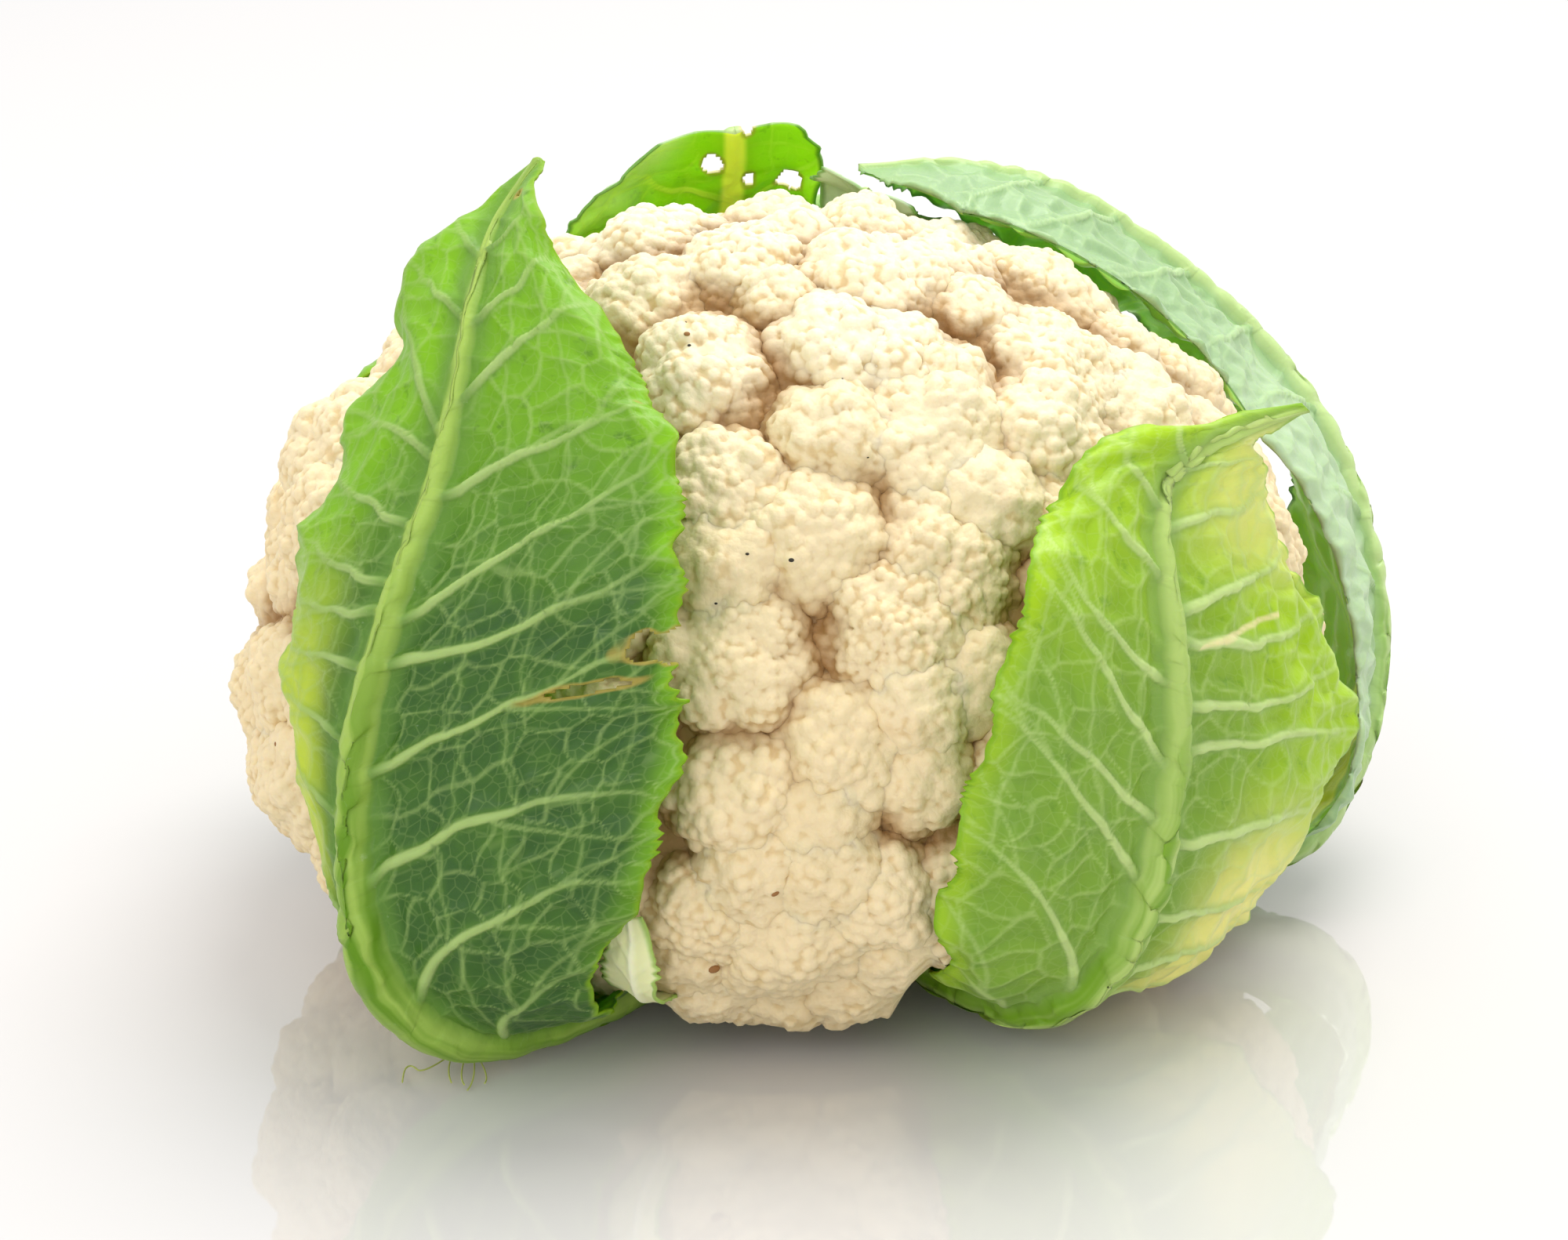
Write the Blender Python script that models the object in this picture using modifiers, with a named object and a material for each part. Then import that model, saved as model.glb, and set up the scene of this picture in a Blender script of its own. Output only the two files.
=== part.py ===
# A whole cauliflower head with its last outer leaves, trimmed and standing as picked: a curd of many
# florets, a short cut stem under it, six wrapper leaves and one small inner leaf. Blender 4.5, metres,
# +Z up, the front towards -Y. The origin is the middle of the stem's cut face, on the surface that
# the head stands on. Every leaf is a separate piece that grows from the stem, passes under the curd
# and curves up round it.

import math
from collections import namedtuple

import bmesh
import bpy
from mathutils import Vector
from mathutils.kdtree import KDTree

MM = 0.001

# The curd's smooth dome, which the florets' tops reach.
CURD_CENTRE = Vector((0.0, 4.0, 40.0)) * MM
CURD_RADII = Vector((87.0, 72.0, 78.0)) * MM
CURD_LOWER = 50 * MM        # its radius along Z below the centre
CURD_CORE = 0.87            # the solid core, as a share of the dome
FLORET_SPREAD = 1.28        # how much broader each floret is than its listed radius
UNDERSIDE_RADIUS = 48 * MM  # inside this distance from the stem the curd is hollowed from below
UNDERSIDE_Z = 6 * MM        # its height there
UNDERSIDE_TOP = 20.5 * MM   # its height over the stem
STEM_ROOM = 20.5 * MM       # the radius of the flat roof over the stem

# Florets that face the front and top: (azimuth, elevation, radius, lift above the dome). Degrees and
# mm; azimuth 0 is -Y and 90 is +X, both seen from the curd's centre. A floret's top reaches the dome.
FRONT_FLORETS = (
    (-103, 72, 9, 0), (-40, 81, 10.5, 0), (49, 75, 12.5, 0), (-54, 68, 9, 0), (-21, 61, 11, 0),
    (16, 65, 10.5, 0), (30, 51, 12.5, 0), (66, 51, 12.5, 0), (50, 46, 9.5, 0), (4, 40, 10.5, 0),
    (24, 34, 12, 0), (34, 40, 8, 0), (-11, 45, 9, 0), (10, 52, 8.5, 0), (-7, 25, 12.5, 0),
    (-9, 35, 8.5, 0), (16, 27, 10.5, 0), (18, 18, 8, 0), (8, 13, 10.5, 0), (-6, 7, 9.5, 0),
    (4, 4, 8, -1), (-4, -2, 8, 0), (5, -3, 8, 0), (1, -12, 12.5, 1), (-11, -9, 9, 0),
    (13, -7, 9, 0), (18, 9, 8, -1), (-80, 32, 12, 4), (-71, 26, 11, 3), (-63, 9, 10.5, 0),
    (-70, -3, 12, 1), (-63, -10, 10, 0), (75, 4, 10, 0), (69, -7, 9, 0),
)
# Rings of florets over the rest of the dome: (elevation, count, first azimuth, last azimuth, radius).
FLORET_RINGS = (
    (74, 3, 130, 240, 11),
    (55, 6, 98, 290, 12),
    (38, 8, 70, 258, 12.5),
    (20, 10, 60, 262, 12.5),
    (2, 11, 92, 276, 12),
    (-12, 11, 90, 274, 11),
    (28, 2, -50, -30, 12),
    (50, 2, -88, -48, 12),
    (12, 2, -46, -26, 12),
    (-6, 2, -46, -26, 11),
    (10, 3, 32, 62, 12),
    (-6, 3, 28, 56, 11),
    (-27, 16, 0, 337.5, 9),
)

# The stem's turned profile from its top to its cut face: (radius, height).
STEM_PROFILE = (
    (0, 19.6), (12, 19.6), (14.5, 18.2), (15.6, 15), (17.2, 8.5), (18.6, 3), (19, 1), (18.6, 0), (0, 0),
)
STEM_SIDES = 40

BLADE_THICK = 1.1 * MM   # leaf blade
FULL_BOW = 20 * MM       # a narrower side bows less
WIDEST_RIB = 0.8         # the most of a side's width that its half of the midrib takes
RIB_COLUMNS = (1, 0.55)  # where the mesh's lines lie, as shares of the midrib's half width
BLADE_COLUMNS = (1, 0.6, 0.2)  # and as shares of the blade's width beyond the midrib
CURD_GAP = 1.6 * MM      # least space between a leaf's inner face and the dome of the curd
RIB_CLEAR = 2.6 * MM     # least space that the curd leaves round a leaf below it
CLEAR_BELOW = 34 * MM    # the height below which the curd gives way to a leaf
CORE_SHARE = 0.1         # where the search for that room starts, as a share of the way out
STEP = 0.5 * MM          # and its step
CLOUD_ROWS = 4           # how many rows of points to a station, in the search
CLOUD_COLUMNS = 8        # and columns to a side
CLOUD_RIB_COLUMNS = 3    # of which this many, from the middle, lie on the midrib too
UNDERSIDE_SMOOTHING = 0.3

# One row per station from the stem to the tip: midrib, one margin, other margin, in mm. They lie on
# the leaf's inner face, the one towards the curd.
LEAF_ROWS = {
    "leaf_front_left": (
        ((-13, -20, 14.5), (-18, -17, 15.5), (-9, -23, 15.5)),
        ((-21, -31, 10), (-27, -26, 12), (-16, -34.5, 12)),
        ((-29.5, -41.5, 9), (-37, -33, 12), (-22, -47, 11.5)),
        ((-37, -48, 8.4), (-46, -36, 13), (-25.5, -56, 12.5)),
        ((-45, -53, 8.4), (-53, -38, 16), (-27, -63, 18)),
        ((-52.5, -57, 12.5), (-60, -40, 23), (-26, -67, 27)),
        ((-58.5, -59, 21), (-65, -42, 32), (-20, -71, 40)),
        ((-61, -58.5, 33), (-69, -44, 42), (-16, -72, 52)),
        ((-60.8, -56, 46.5), (-72, -42, 51), (-14.2, -72, 63)),
        ((-59.3, -55.5, 58), (-73, -38, 59), (-14, -72, 70)),
        ((-56, -55, 70), (-72, -36, 67), (-14, -71, 78.5)),
        ((-52.5, -52, 80.3), (-70, -34, 76), (-14.6, -68, 87)),
        ((-49, -48, 89.3), (-67, -32, 83), (-13.9, -64, 93.4)),
        ((-46.8, -43.5, 98), (-62.3, -30, 91), (-15.3, -59, 100.6)),
        ((-45.2, -38.5, 106.5), (-57.5, -26, 100), (-18.7, -53, 105.5)),
        ((-44, -33, 113), (-56, -22, 107.6), (-23, -47, 111.5)),
        ((-42.5, -27, 118), (-52.5, -19, 116), (-30, -38, 118)),
        ((-40.5, -21.5, 122.3), (-46, -17, 121), (-34.5, -29, 124.5)),
        ((-37.8, -17.5, 126.5), (-41, -16, 125.6), (-35.2, -21, 127.5)),
        ((-35.7, -15.2, 129.2), (-36.5, -15, 129), (-35, -16, 129.2)),
    ),
    "leaf_front_right": (
        ((16, -15.5, 14.5), (11, -19, 15.5), (20, -12, 15.5)),
        ((22, -26, 10), (17, -29, 12), (28, -20.5, 12)),
        ((28.5, -35.5, 9.5), (21, -39.5, 12.7), (40, -26, 9.3)),
        ((35, -44, 10), (22.5, -51, 15.2), (52, -27, 6.5)),
        ((42, -49.5, 13.5), (22.5, -61.5, 23), (61.2, -25, 6.5)),
        ((49, -52, 22.5), (22.5, -67.5, 35), (69.5, -22, 10.5)),
        ((53, -54, 38), (25.5, -70, 48), (77.5, -18, 23)),
        ((55, -54.5, 53), (28, -71, 61), (83.5, -13.5, 37)),
        ((54.7, -54.5, 65.5), (30.5, -70, 73), (84.3, -14, 47)),
        ((53.5, -53, 76), (33.4, -66, 82), (80, -19, 60)),
        ((52.5, -49.5, 84.5), (36.5, -60, 90), (74.5, -24, 69)),
        ((54.3, -44.5, 90.4), (40.5, -54, 94), (70, -30, 81)),
        ((60, -40, 93.5), (50, -46, 97), (68.5, -32, 88.5)),
        ((66.9, -36, 95.2), (62, -38, 97), (70.5, -32.5, 93)),
        ((75.7, -32, 97), (75, -32.5, 97.4), (76, -31.5, 96.6)),
    ),
    "leaf_back_right": (
        ((19, 8.5, 15), (20, 4, 15.5), (17, 13.5, 15.5)),
        ((38, 12, 10), (38.5, 6, 11.5), (36, 18, 11.5)),
        ((58, 13, 9), (60.5, 5, 10.5), (55, 22, 11)),
        ((76, 13.5, 9.5), (80, 3, 13), (71, 27, 12.5)),
        ((85.5, 18, 13.5), (89, 7, 20), (79, 38, 16.5)),
        ((91.5, 26, 22), (92, 13, 28), (84, 50, 24)),
        ((94.5, 33, 32), (92.5, 20, 35), (86, 58, 34)),
        ((94.8, 39, 44), (91, 23, 46), (85.5, 64, 46)),
        ((92, 45, 57), (87, 24, 58), (82, 70, 58)),
        ((86.5, 50, 69), (80, 24, 70), (77, 72, 66)),
        ((77, 54, 81), (70, 22.5, 79.5), (69, 72, 72)),
        ((66.5, 55, 91), (61.5, 21, 89), (59, 70, 79)),
        ((56, 54, 99.5), (51.5, 21, 97), (50, 67, 85.5)),
        ((46.5, 52, 106), (41.5, 22, 102.5), (41, 63, 91.5)),
        ((36.5, 50, 110), (31.5, 26, 107), (32.5, 60, 98.5)),
        ((25, 48.5, 112), (25, 35, 110.5), (22.5, 57, 105)),
        ((12, 48, 112), (12.5, 46.5, 112), (12, 49.5, 111.7)),
    ),
    "leaf_back": (
        ((-4, 22, 15), (-8.5, 21, 15.5), (0.5, 22.5, 15.5)),
        ((-6, 42, 10), (-11, 41, 11), (-1, 43, 11)),
        ((-8, 62, 9), (-16, 61, 11), (0, 63, 11)),
        ((-9, 78, 13), (-23, 76, 16), (5, 79, 16)),
        ((-9.5, 86.5, 24), (-31, 82, 27), (11, 87, 27)),
        ((-10, 89.5, 39), (-37, 84, 40), (14, 89.5, 41)),
        ((-10, 89, 54), (-41, 82, 53), (13, 89, 56)),
        ((-10, 86, 69), (-42, 77, 67), (12, 86, 71)),
        ((-9.5, 80.5, 83), (-41, 70, 80), (11, 80.5, 85)),
        ((-9, 73, 94.5), (-38.5, 62, 92), (9, 73, 97)),
        ((-8.5, 66.5, 102.5), (-35.5, 54, 99.5), (6.5, 65, 103.5)),
        ((-8, 61.5, 110.5), (-27, 56, 108.5), (6.3, 60, 111)),
        ((-8, 58.5, 115.5), (-21, 56.5, 114), (3.5, 57.5, 116.5)),
    ),
    "leaf_back_middle": (
        ((8, 20.5, 15), (5, 22, 15.5), (12, 18, 15.5)),
        ((13, 39, 10), (8.5, 40, 11), (18, 37, 11)),
        ((19, 56, 9), (13, 58, 11), (26, 54, 11)),
        ((24, 70, 12.5), (14, 73, 14.5), (36, 65, 15)),
        ((28, 77.5, 23), (13, 80, 25), (46, 69, 25)),
        ((30, 80.5, 37), (12, 82, 38), (52, 70, 38)),
        ((30, 80.5, 52), (11, 81, 53), (54, 68, 52)),
        ((28, 77, 67), (10, 77, 68), (53, 64, 65)),
        ((25.5, 70, 81), (9, 69.5, 82), (48, 58, 78)),
        ((22.5, 61, 93), (6.5, 59.5, 95.5), (39, 51, 89)),
        ((19.5, 51, 101.5), (5.5, 50.5, 106), (29, 45, 98)),
        ((16.5, 43, 106), (4.5, 44.5, 112), (22, 39.5, 104)),
        ((13, 39, 110.5), (4.5, 41.5, 114), (20, 37.5, 108.8)),
    ),
    "leaf_back_left": (
        ((-16, 14, 15), (-18.5, 10, 15.5), (-12.5, 17.5, 15.5)),
        ((-30, 26, 10), (-33, 21.5, 11), (-26.5, 30.5, 11)),
        ((-45.5, 38.5, 9), (-50, 31, 11), (-39.5, 44, 11)),
        ((-59, 49, 12.5), (-66, 36, 15.5), (-48, 57, 15)),
        ((-67.5, 55.5, 22.5), (-77, 37, 27), (-52, 68, 26)),
        ((-71.5, 58.5, 36.5), (-80.5, 36, 40), (-55, 73, 38.5)),
        ((-72.5, 58.5, 51), (-82, 30, 54), (-57, 72, 52)),
        ((-70, 56.5, 65), (-77, 34, 66), (-56, 68.5, 64.5)),
        ((-64.5, 52.5, 78.5), (-68, 39, 77), (-53, 63, 76)),
        ((-58, 47, 89), (-59, 42, 86.5), (-49, 56, 86)),
        ((-52, 42, 96), (-54.5, 41, 95.5), (-49.5, 44.5, 95.5)),
    ),
    "leaf_inner_front": (
        ((-6, -21.5, 18), (-8, -21, 18), (-4, -22, 18)),
        ((-12, -36, 15), (-14.5, -35, 15), (-9.5, -37, 15)),
        ((-17, -50, 13.5), (-20, -48.5, 13.5), (-14.5, -51, 13.5)),
        ((-20.5, -60, 16), (-24.2, -57.5, 17), (-17, -61.5, 16)),
        ((-21.8, -64, 22), (-25.8, -61.6, 23), (-18, -65, 22)),
        ((-21.8, -64.5, 27), (-25.8, -62.6, 28.5), (-19, -65.3, 27)),
        ((-22, -65, 31), (-24, -64, 32), (-20, -65.3, 31.5)),
    ),
}
# Each leaf's form, in mm: its midrib's depth and width at the stem and at the tip, how far the blade
# bows out between midrib and margin, and the station from which it lies against the curd.
Form = namedtuple("Form", "depth tip_depth width tip_width bow against")
LEAF_FORM = {
    "leaf_front_left": Form(7.5, 0.8, 10, 2, 3, 5),
    "leaf_front_right": Form(7, 0.8, 9.5, 2, 3, 4),
    "leaf_back_right": Form(7, 0.8, 9.5, 2, 2, 4),
    "leaf_back": Form(7, 1.2, 9.5, 3, 2, 3),
    "leaf_back_middle": Form(6.5, 0.8, 9, 2, 1.5, 3),
    "leaf_back_left": Form(6.5, 0.8, 9, 2, 2, 3),
    "leaf_inner_front": Form(1.2, 0.4, 2, 1, 0.2, 3),
}

# Colour, roughness.
LOOKS = {
    "curd": ((0.86, 0.80, 0.62, 1), 0.55),
    "stem": ((0.72, 0.76, 0.50, 1), 0.5),
    "leaf_front_left": ((0.10, 0.26, 0.05, 1), 0.42),
    "leaf_front_right": ((0.24, 0.42, 0.08, 1), 0.42),
    "leaf_back_right": ((0.26, 0.42, 0.20, 1), 0.40),
    "leaf_back": ((0.12, 0.36, 0.03, 1), 0.45),
    "leaf_back_middle": ((0.30, 0.45, 0.24, 1), 0.42),
    "leaf_back_left": ((0.12, 0.30, 0.07, 1), 0.42),
    "leaf_inner_front": ((0.62, 0.70, 0.32, 1), 0.45),
}


def direction(azimuth, elevation):
    a, e = math.radians(azimuth), math.radians(elevation)
    return Vector((math.sin(a) * math.cos(e), -math.cos(a) * math.cos(e), math.sin(e)))


def dome_reach(way):
    tall = CURD_RADII.z if way.z > 0 else CURD_LOWER
    return 1 / math.sqrt((way.x / CURD_RADII.x) ** 2 + (way.y / CURD_RADII.y) ** 2 + (way.z / tall) ** 2)


def all_florets():
    florets = list(FRONT_FLORETS)
    for elevation, count, first, last, radius in FLORET_RINGS:
        for i in range(count):
            florets.append((first + (last - first) * i / (count - 1), elevation, radius, 0))
    spheres = []
    for azimuth, elevation, radius, lift in florets:
        way = direction(azimuth, elevation)
        broad = radius * FLORET_SPREAD
        spheres.append((way * (dome_reach(way) + (lift - broad) * MM), broad * MM))
    return spheres


def curd_reach(way, spheres):
    # The farthest point of any floret along this direction, or the core where none is met.
    reach = CURD_CORE * dome_reach(way)
    for centre, radius in spheres:
        along = centre.dot(way)
        off = centre.length_squared - along * along
        if along > 0 and off < radius * radius:
            reach = max(reach, along + math.sqrt(radius * radius - off))
    return reach


def underside(point):
    # The height of the hollow under the curd: a cone that rises to a flat roof over the stem.
    out = max(0, math.hypot(point.x, point.y) - STEM_ROOM) / (UNDERSIDE_RADIUS - STEM_ROOM)
    return UNDERSIDE_TOP + (UNDERSIDE_Z - UNDERSIDE_TOP) * min(out, 1)


def smooth_value(values, t):
    # A Catmull-Rom curve through the values, at t counted in stations.
    i = min(int(t), len(values) - 2)
    f = t - i
    a, b, c, d = (values[max(0, min(len(values) - 1, i + k))] for k in (-1, 0, 1, 2))
    square = (2 * a - 5 * b + 4 * c - d) * f ** 2
    return 0.5 * (2 * b + (c - a) * f + square + (3 * b - a - 3 * c + d) * f ** 3)


def leaf_lines(name, t, side):
    # The midrib and the margin on this side, at t counted in stations.
    rows = LEAF_ROWS[name]
    rib = smooth_value([Vector(row[0]) for row in rows], t) * MM
    margin = smooth_value([Vector(row[1 if side < 0 else 2]) for row in rows], t) * MM
    return rib, margin


def leaf_point(name, t, side):
    # side runs from -1 at the first margin, through 0 at the midrib, to 1 at the other margin.
    rib, margin = leaf_lines(name, t, side)
    form = LEAF_FORM[name]
    f = abs(side)
    bow = ((rib + margin) / 2 - CURD_CENTRE).normalized() * form.bow * MM
    point = rib.lerp(margin, f) + bow * 4 * f * (1 - f) * min(1, (margin - rib).length / FULL_BOW)
    away = point - CURD_CENTRE
    reach = dome_reach(away.normalized()) + CURD_GAP
    if away.length < reach:
        held = max(0, min(1, t - form.against))
        point += away.normalized() * (reach - away.length) * held
    return point


def taper(start, end, name, t):
    return (start + (end - start) * t / (len(LEAF_ROWS[name]) - 1)) * MM


def rib_depth(name, t):
    return taper(LEAF_FORM[name].depth, LEAF_FORM[name].tip_depth, name, t)


def rib_share(name, t, side):
    # The midrib's half width as a share of the blade's width on this side.
    rib, margin = leaf_lines(name, t, side)
    half = taper(LEAF_FORM[name].width, LEAF_FORM[name].tip_width, name, t) / 2
    return min(WIDEST_RIB, half / max((margin - rib).length, MM))


def finish(name, mesh, group, smooth_angle):
    colour, roughness = LOOKS[name]
    material = bpy.data.materials.new(name)
    material.use_nodes = True
    shader = material.node_tree.nodes["Principled BSDF"]
    shader.inputs["Base Color"].default_value = colour
    shader.inputs["Roughness"].default_value = roughness
    shader.inputs["Metallic"].default_value = 0
    mesh.materials.append(material)
    mesh.shade_smooth()
    mesh.set_sharp_from_angle(angle=math.radians(smooth_angle))
    piece = bpy.data.objects.new(name, mesh)
    group.objects.link(piece)
    return piece


def make_leaf(name, group):
    # A grid from stem to tip and from margin to margin, given its thickness by Solidify: thin at the
    # blade, with a round midrib on the outer side.
    steps = len(LEAF_ROWS[name]) - 1
    across = [("blade", -f) for f in BLADE_COLUMNS] + [("rib", -f) for f in RIB_COLUMNS] + [("rib", 0)]
    across += [("rib", f) for f in reversed(RIB_COLUMNS)] + [("blade", f) for f in reversed(BLADE_COLUMNS)]
    bm = bmesh.new()
    bmesh.ops.create_grid(bm, x_segments=len(across) - 1, y_segments=steps, size=1)
    bm.verts.ensure_lookup_table()
    order = sorted(bm.verts, key=lambda v: (round(v.co.y, 4), round(v.co.x, 4)))
    thickness = {}
    for k, vert in enumerate(order):
        t, (kind, f) = k // len(across), across[k % len(across)]
        share = rib_share(name, t, f)
        side = f * share if kind == "rib" else math.copysign(share + (1 - share) * abs(f), f)
        ridge = math.sqrt(1 - f * f) * rib_depth(name, t) if kind == "rib" else 0
        thickness[vert.index] = BLADE_THICK + ridge
        vert.co = leaf_point(name, t, side)
    bmesh.ops.recalc_face_normals(bm, faces=bm.faces)
    middle = min(bm.faces, key=lambda face: abs(face.calc_center_median().z - CURD_CENTRE.z))
    if middle.normal.dot(middle.calc_center_median() - CURD_CENTRE) < 0:
        bmesh.ops.reverse_faces(bm, faces=bm.faces)
    mesh = bpy.data.meshes.new(name)
    bm.to_mesh(mesh)
    bm.free()
    piece = finish(name, mesh, group, 50)
    thickest = max(thickness.values())
    depth = piece.vertex_groups.new(name="thickness")
    for index, value in thickness.items():
        depth.add([index], value / thickest, "REPLACE")
    shell = piece.modifiers.new("Thickness", "SOLIDIFY")
    shell.thickness = thickest
    shell.offset = 1
    shell.vertex_group = "thickness"
    shell.use_even_offset = False
    return piece


def leaf_cloud():
    # Points all over the leaves' outer and inner faces, for the room that the curd leaves them.
    points = []
    for name, rows in LEAF_ROWS.items():
        for i in range((len(rows) - 1) * CLOUD_ROWS + 1):
            t = i / CLOUD_ROWS
            rib = leaf_point(name, t, 0)
            for k in range(-CLOUD_COLUMNS, CLOUD_COLUMNS + 1):
                point = leaf_point(name, t, k / CLOUD_COLUMNS)
                points.append(point)
                if abs(k) < CLOUD_RIB_COLUMNS:
                    points.append(point + (rib - CURD_CENTRE).normalized() * rib_depth(name, t))
    tree = KDTree(len(points))
    for i, point in enumerate(points):
        tree.insert(point, i)
    tree.balance()
    return tree


def lower_reach(way, reach, leaves):
    # How far the curd goes this way before it meets its underside or the room round a leaf.
    along = CORE_SHARE * reach
    while along < reach:
        point = CURD_CENTRE + way * (along + STEP)
        if point.z < underside(point) or leaves.find(point)[2] < RIB_CLEAR:
            break
        along += STEP
    return along


def make_curd(spheres, group):
    # A ball pushed out to the florets' tops, hollowed underneath, and drawn in where a leaf passes.
    leaves = leaf_cloud()
    bm = bmesh.new()
    bmesh.ops.create_icosphere(bm, subdivisions=5, radius=1)
    for vert in bm.verts:
        way = vert.co.normalized()
        reach = curd_reach(way, spheres)
        point = CURD_CENTRE + way * reach
        if point.z < CLEAR_BELOW:
            reach = lower_reach(way, reach, leaves)
            point = CURD_CENTRE + way * reach
        vert.co = point
    bmesh.ops.smooth_vert(bm, verts=[v for v in bm.verts if v.co.z < UNDERSIDE_TOP],
                          factor=UNDERSIDE_SMOOTHING, use_axis_x=True, use_axis_y=True, use_axis_z=True)
    mesh = bpy.data.meshes.new("curd")
    bm.to_mesh(mesh)
    bm.free()
    return finish("curd", mesh, group, 80)


def make_stem(group):
    bm = bmesh.new()
    points = [bm.verts.new((r * MM, 0, z * MM)) for r, z in STEM_PROFILE]
    for a, b in zip(points, points[1:]):
        bm.edges.new((a, b))
    mesh = bpy.data.meshes.new("stem")
    bm.to_mesh(mesh)
    bm.free()
    piece = finish("stem", mesh, group, 40)
    turn = piece.modifiers.new("Turn", "SCREW")
    turn.axis = "Z"
    turn.angle = 2 * math.pi
    turn.steps = STEM_SIDES
    turn.render_steps = STEM_SIDES
    turn.use_merge_vertices = True
    turn.merge_threshold = 0.1 * MM
    return piece


def main():
    for piece in list(bpy.data.objects):
        bpy.data.objects.remove(piece, do_unlink=True)
    group = bpy.data.collections.new("cauliflower")
    bpy.context.scene.collection.children.link(group)
    spheres = all_florets()
    make_curd(spheres, group)
    make_stem(group)
    for name in LEAF_ROWS:
        make_leaf(name, group)


main()
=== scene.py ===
import math

import bmesh
import bpy
import numpy as np
from mathutils import Matrix, Vector
from mathutils.kdtree import KDTree


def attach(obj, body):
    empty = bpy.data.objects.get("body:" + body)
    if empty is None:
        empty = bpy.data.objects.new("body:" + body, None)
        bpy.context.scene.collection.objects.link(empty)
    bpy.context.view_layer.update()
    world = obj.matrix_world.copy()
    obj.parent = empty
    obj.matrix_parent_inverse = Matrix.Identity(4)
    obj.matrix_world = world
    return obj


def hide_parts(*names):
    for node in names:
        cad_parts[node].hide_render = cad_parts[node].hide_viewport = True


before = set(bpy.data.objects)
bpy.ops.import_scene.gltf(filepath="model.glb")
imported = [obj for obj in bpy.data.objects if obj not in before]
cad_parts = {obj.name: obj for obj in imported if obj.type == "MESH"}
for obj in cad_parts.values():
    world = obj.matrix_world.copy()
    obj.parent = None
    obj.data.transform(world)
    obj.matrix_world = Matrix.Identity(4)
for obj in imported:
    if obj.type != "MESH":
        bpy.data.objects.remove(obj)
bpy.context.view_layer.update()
mm = 0.001
body = "root"
farAway = 99.0     # further than anything on a leaf, in mm


# small helpers, all in millimetres until a mesh is written

def smoothStep(low, high, x):
    t = np.clip((x - low) / (high - low), 0, 1)
    return t * t * (3 - 2 * t)


def unit(v):
    return v / np.maximum(np.linalg.norm(v, axis=-1, keepdims=True), 1e-9)


def curveThrough(points, t):
    # a smooth curve through the stations, at t counted in stations
    p = np.asarray(points, float)
    i = np.clip(t.astype(int), 0, len(p) - 2)
    f = (t - i)[:, None]
    a, b, c, d = (p[np.clip(i + k, 0, len(p) - 1)] for k in (-1, 0, 1, 2))
    return 0.5 * (2 * b + (c - a) * f + (2 * a - 5 * b + 4 * c - d) * f ** 2
                  + (3 * b - a - 3 * c + d) * f ** 3)


def ripple(points, length, seed):
    # soft noise of about that wavelength: a few plane waves in random directions
    draw = np.random.default_rng(seed)
    total = np.zeros(len(points))
    for k in range(9):
        way = draw.normal(size=points.shape[1])
        way *= draw.uniform(0.6, 1.5) / np.linalg.norm(way)
        total += np.sin(points @ way * 2 * math.pi / length + draw.uniform(0, 6.3))
    return total / 3


def newMesh(name, bm):
    mesh = bpy.data.meshes.new(name)
    bm.to_mesh(mesh)
    bm.free()
    return mesh


def meshPiece(name, bm, materials, values=None):
    # writes a bmesh in metres, with any values per vertex as attributes
    return dressPiece(name, newMesh(name, bm), materials, values)


def dressPiece(name, mesh, materials, values=None):
    for key, numbers in (values or {}).items():
        layer = mesh.attributes.new(key, "FLOAT", "POINT")
        layer.data.foreach_set("value", np.asarray(numbers, np.float32))
    for material in materials:
        mesh.materials.append(material)
    mesh.shade_smooth()
    piece = bpy.data.objects.new(name, mesh)
    bpy.context.scene.collection.objects.link(piece)
    return piece


def placeVerts(mesh, points):
    mesh.vertices.foreach_set("co", (points * mm).astype(np.float32).ravel())
    mesh.update()


def readVerts(mesh):
    flat = np.empty(len(mesh.vertices) * 3, np.float32)
    mesh.vertices.foreach_get("co", flat)
    return flat.reshape(-1, 3).astype(float)


def seat(piece, node):
    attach(piece, body)
    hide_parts(node)
    return piece


# materials

def freshMaterial(name):
    material = bpy.data.materials.new(name)
    material.use_nodes = True
    return material, material.node_tree, material.node_tree.nodes["Principled BSDF"]


def addNode(tree, kind, settings=None, **inputs):
    # makes a node; inputs are numbers, colours or other nodes' sockets, by name with _ for spaces
    made = tree.nodes.new(kind)
    for key, value in (settings or {}).items():
        setattr(made, key, value)
    for key, value in inputs.items():
        spot = made.inputs[int(key[1:])] if key[1:].isdigit() else made.inputs[key.replace("_", " ")]
        if isinstance(value, bpy.types.NodeSocket):
            tree.links.new(value, spot)
        else:
            spot.default_value = value
    return made


def mathNode(tree, operation, a, b=0.0, clamp=False):
    settings = {"operation": operation, "use_clamp": clamp}
    return addNode(tree, "ShaderNodeMath", settings, i0=a, i1=b).outputs[0]


def mixColour(tree, share, a, b):
    made = tree.nodes.new("ShaderNodeMix")
    made.data_type = "RGBA"
    for spot, value in ((0, share), (6, a), (7, b)):
        if isinstance(value, bpy.types.NodeSocket):
            tree.links.new(value, made.inputs[spot])
        else:
            made.inputs[spot].default_value = value
    return made.outputs[2]


def paintOver(tree, colour, layers):
    # lays one colour after another over the first, each by its own share
    for share, paint in layers:
        colour = mixColour(tree, share, colour, paint)
    return colour


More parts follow.
